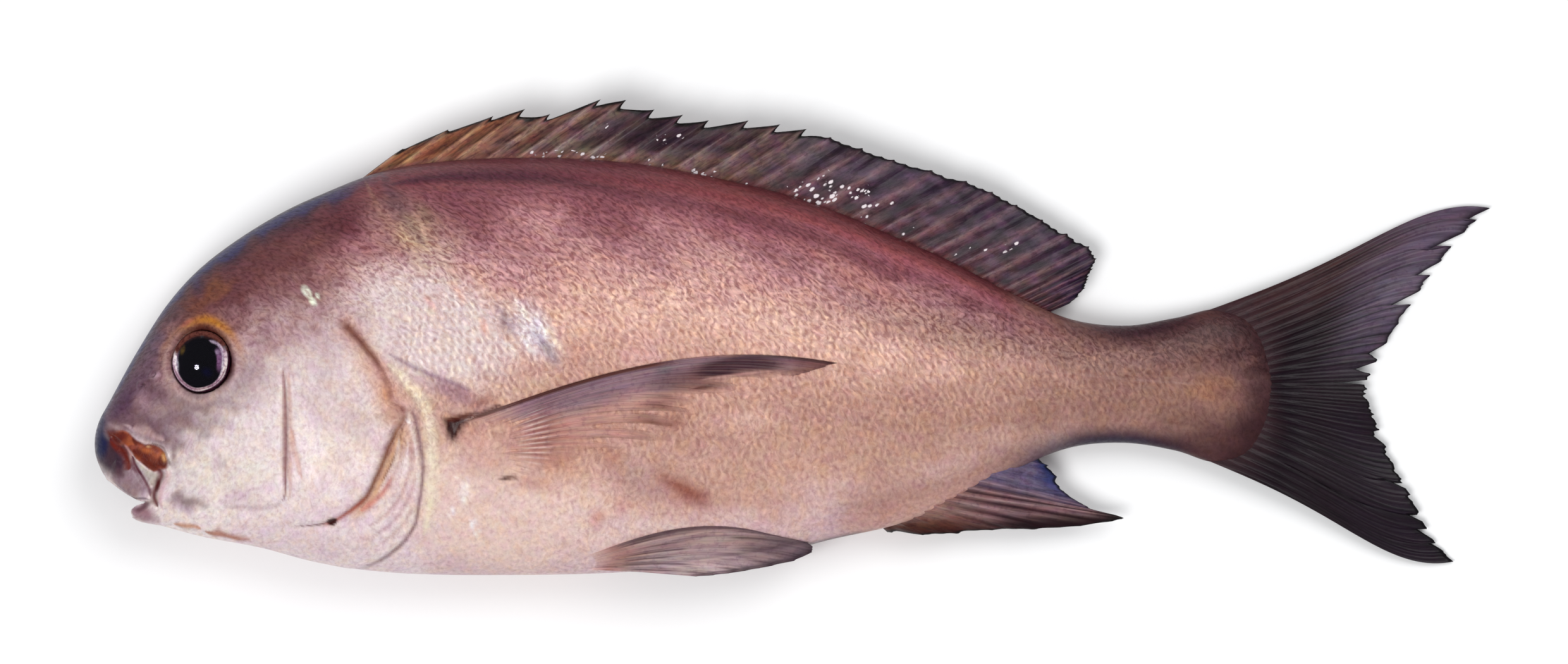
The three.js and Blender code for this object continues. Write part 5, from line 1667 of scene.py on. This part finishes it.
def lathe(profile, sides, centre, axis):
    """Points of a turned shape: one ring for each (radius, height) of the profile."""
    angle = np.linspace(0, 2 * math.pi, sides, endpoint=False)
    radius, height = np.array(profile, float).T
    ring = np.stack([
        radius[:, None] * np.cos(angle),
        radius[:, None] * np.sin(angle),
        np.broadcast_to(height[:, None], (len(profile), sides)),
    ], axis=-1)
    return centre + ring @ turned_to(axis).T, np.broadcast_to(angle, (len(profile), sides))


PUPIL_RADIUS = 5.2
PUPIL_OFF = (-0.3, -0.1)  # place of the pupil, from the middle of the eye
RING = 8.35  # the outer radius of the pale ring
GLINT_OFF = (-1.15, -1.85)  # place of the white glint, measured the same way
FACE_RINGS = 48  # rings of points on the face of the eyeball, before its back
BACK_RINGS = 13
BALL_SIDES = 96
DOME_RINGS = 26
DOME_SIDES = 72
CORNEA_EDGE = 0.4  # how thick the cornea is at its edge


def paint_eye(paint, x, y):
    """The colours of an eye, from places measured from its centre."""
    wander = 0.10 * ripples(x, y, 8.0, 39)
    radius = np.hypot(x, y) + wander
    pupil = np.hypot(x - PUPIL_OFF[0], y - PUPIL_OFF[1]) + 0.5 * wander
    low = 1 - smooth(3.6, 6.0, y + 0.045 * x**2 - 0.12 * x)
    # Two small grey spots that are painted reflections of light on the eye.
    glint_specks = 0.5 * blob(x, y, 0.2, 7.0, 0.6, 0.6) + 0.6 * blob(x, y, 7.2, 4.0, 0.7, 0.8)
    inner = 6.9 + 0.7 * smooth(0, -6, y) - 0.3 * smooth(3, 6, x)
    ring = smooth(inner - 0.25, inner + 0.25, radius) * smooth(RING + 0.15, RING - 0.2, radius)
    paint.marks(x, y, [
        # Painted shade of the brow over the upper part of the eye.
        ((1 - low) * smooth(6.4, 8.2, radius), 104, 64, 58, 1),
        (smooth(inner + 0.4, inner, radius) * low, 30, 18, 30, 1),
        (blob(x, y, 5.6, 0.6, 1.8, 4.6, 6, 0.3) * low, 150, 104, 138, 0.9),
        # Painted pale reflection up and to the right of the pupil.
        (blob(x, y, 4.8, 2.6, 1.3, 1.3) * low, 176, 150, 172, 0.8),
        (-5.6, 3.2, 0.9, 1.8, -20, 0, 168, 132, 60, 0.6), (ring * low, 206, 176, 192, 0.95),
        (-7.4, -0.2, 0.9, 3.8, 10, 0.3, 242, 230, 232, 0.95),
        (ring * blob(x, y, 7.2, -1.6, 3, 5.4), 246, 232, 226, 0.9),
        (ring * blob(x, y, 1.4, -8.0, 4.4, 2), 246, 228, 222, 0.8),
        ([(2.4, 6.0), (5.0, 4.9), (6.9, 2.8)], 0.7, 0.15, 226, 200, 214, 0.9),
        (low * bell(radius - 7.9, 0.22) * smooth(0, -4, y), 112, 60, 78, 0.8),
        (1 - smooth(PUPIL_RADIUS - 0.3, PUPIL_RADIUS + 0.25, pupil), 8, 5, 12, 1),
        # Painted bluish reflection in the pupil.
        (1.9, -3.0, 2.6, 1.9, -20, 0, 22, 24, 52, 0.7),
        # Painted reflections.
        (glint_specks, 100, 108, 110, 1),
        (smooth(RING, RING + 0.25, radius) * low, 54, 30, 40, 1),
    ])


def build_eye(name, side, eye, cornea):
    centre, axis = eye_frame(side)
    node = "eye_left" if side > 0 else "eye_right"
    quarter = np.linspace(0, math.pi / 2, BACK_RINGS + 1)[1:]
    face = np.linspace(0, EYE_RADIUS, FACE_RINGS)
    radii = np.concatenate([face, EYE_RADIUS * np.cos(quarter)])
    dish = 1.0 - 0.6 * smooth(RING, PUPIL_RADIUS, face) - 0.6 * smooth(RING, EYE_RADIUS, face)
    profile = np.column_stack([radii, np.concatenate([dish, 0.4 - EYE_DEPTH * np.sin(quarter)])])
    points, angle = lathe(profile, BALL_SIDES, centre, axis)
    seen = np.broadcast_to((np.arange(len(radii)) < FACE_RINGS)[:, None], angle.shape)
    radius = np.broadcast_to(radii[:, None], angle.shape)
    paint = Paint(angle.shape, rgb(14, 10, 14))
    paint_eye(paint, side * radius * np.cos(angle), radius * np.sin(angle))
    paint.lay(rgb(30, 20, 24), 1.0 - seen)
    rays = np.stack([radius * np.cos(angle), radius * np.sin(angle), 0 * angle], axis=-1)
    keep = {"tint": paint.colour.reshape(-1, 3), "rays": rays.reshape(-1, 3)}
    flat = grid_faces(*angle.shape, wrap=True)[:, ::-1]
    corners, faces, keep = welded(points.reshape(-1, 3), flat, keep)
    new_piece(name, corners, faces, eye, "eye", node, **keep)
    out = np.linspace(0, 1, DOME_RINGS)
    dome = np.column_stack([EYE_RADIUS * out, EYE_DOME * (1 - out**2)])
    below = [(EYE_RADIUS - CORNEA_EDGE, -CORNEA_EDGE), (0.0, -CORNEA_EDGE)]
    points, angle = lathe(np.vstack([dome, below]), DOME_SIDES, centre, axis)
    flat = grid_faces(*angle.shape, wrap=True)[:, ::-1]
    corners, faces, _ = welded(points.reshape(-1, 3), flat, {})
    new_piece(name + "_cornea", corners, faces, cornea, "eye", node)


# ---------------------------------------------------------------- floor, light and camera

CAMERA_HEIGHT = 1.895  # metres above the floor, looking straight down
CAMERA_XY = (-0.003577, 0.001815)
LENS = 150.0  # millimetres, and the same for the sensor
SENSOR = 36.0


def build_stage():
    bpy.ops.mesh.primitive_plane_add(size=6.0, location=(0, 0, 0))
    floor = bpy.context.object
    floor.name = "floor"
    floor.data.materials.append(floor_material())


def add_light(name, place, target, size, power, receivers):
    """A soft round light that shines on a collection of objects alone."""
    data = bpy.data.lights.new(name, "AREA")
    data.shape = "DISK"
    data.size = size
    data.energy = power
    light = bpy.data.objects.new(name, data)
    bpy.context.scene.collection.objects.link(light)
    light.location = place
    aim = np.array(target, float) - np.array(place, float)
    light.rotation_mode = "QUATERNION"
    light.rotation_quaternion = Vector(aim).to_track_quat("-Z", "Y")
    light.light_linking.receiver_collection = receivers


def build_lights():
    world = bpy.data.worlds.new("studio")
    bpy.context.scene.world = world
    world.use_nodes = True
    sky, strength = world.node_tree.nodes["Background"].inputs[:2]
    sky.default_value = (0.95, 0.97, 1.0, 1)
    strength.default_value = 0.27
    table = bpy.data.collections.new("floor_only")
    table.objects.link(bpy.data.objects["floor"])
    glassy, matt = bpy.data.collections.new("corneas"), bpy.data.collections.new("all_but_corneas")
    for piece in bpy.context.scene.collection.objects:
        if piece.type == "MESH":
            (glassy if piece.name.endswith("_cornea") else matt).objects.link(piece)
    add_light("floor_light", (0, 0, 2.2), (0, 0, 0), 2.0, 9.0, table)
    add_light("key", (-0.5, -0.45, 1.6), (0, 0, 0), 0.8, 16.2, matt)
    add_light("fill", (0.6, 0.7, 1.6), (0, 0, 0), 1.0, 12.4, matt)
    centre, axis = eye_frame(1)
    bend = np.array([*GLINT_OFF, 0]) * 2 * EYE_DOME / EYE_RADIUS**2
    normal = (axis + bend) / np.linalg.norm(axis + bend)
    back = 2 * normal[2] * normal - (0, 0, 1)
    eye = placed(centre)[0]
    add_light("glint", eye + 0.9 * back, eye, 0.16, 3.6, glassy)


def build_camera():
    data = bpy.data.cameras.new("camera")
    data.lens = LENS
    data.sensor_width = SENSOR
    data.clip_end = 20.0
    camera = bpy.data.objects.new("camera", data)
    camera.location = (*CAMERA_XY, CAMERA_HEIGHT)
    bpy.context.scene.collection.objects.link(camera)
    bpy.context.scene.camera = camera


# ---------------------------------------------------------------- the whole scene


def main():
    for world in list(bpy.data.worlds):
        bpy.data.worlds.remove(world)
    build_stage()
    build_camera()
    bpy.context.scene.view_settings.view_transform = "Standard"
    skin = skin_material()
    mouth = mouth_material()
    build_body(skin, mouth)
    build_back_fin(fin_material("back_fin_skin", 1.0, 0.34))
    dark = fin_material("tail_fin_skin", 0.7, 0.2)
    build_tail_fin(dark)
    build_vent_fin(dark)
    thin = laid_fin_material()
    for side, name in ((1, "left"), (-1, "right")):
        laid_fin(
            "breast_fin_" + name, side, BREAST_RAYS, BREAST_FIN_ROOTS, BREAST_FIN_EDGE,
            BREAST_BULGE, 0.0, 0.55, paint_breast_fin, breast_fin_cover, thin, 71)
        laid_fin(
            "belly_fin_" + name, side, BELLY_RAYS, BELLY_FIN_ROOTS, BELLY_FIN_EDGE, BELLY_BULGE,
            0.0 if side > 0 else BELLY_FIN_DROP, 0.5, paint_belly_fin, belly_fin_cover, thin, 81)
    eye, cornea = eye_material(), cornea_material()
    build_eye("eyeball_left", 1, eye, cornea)
    build_eye("eyeball_right", -1, eye, cornea)
    build_lights()


main()

bpy.context.view_layer.update()
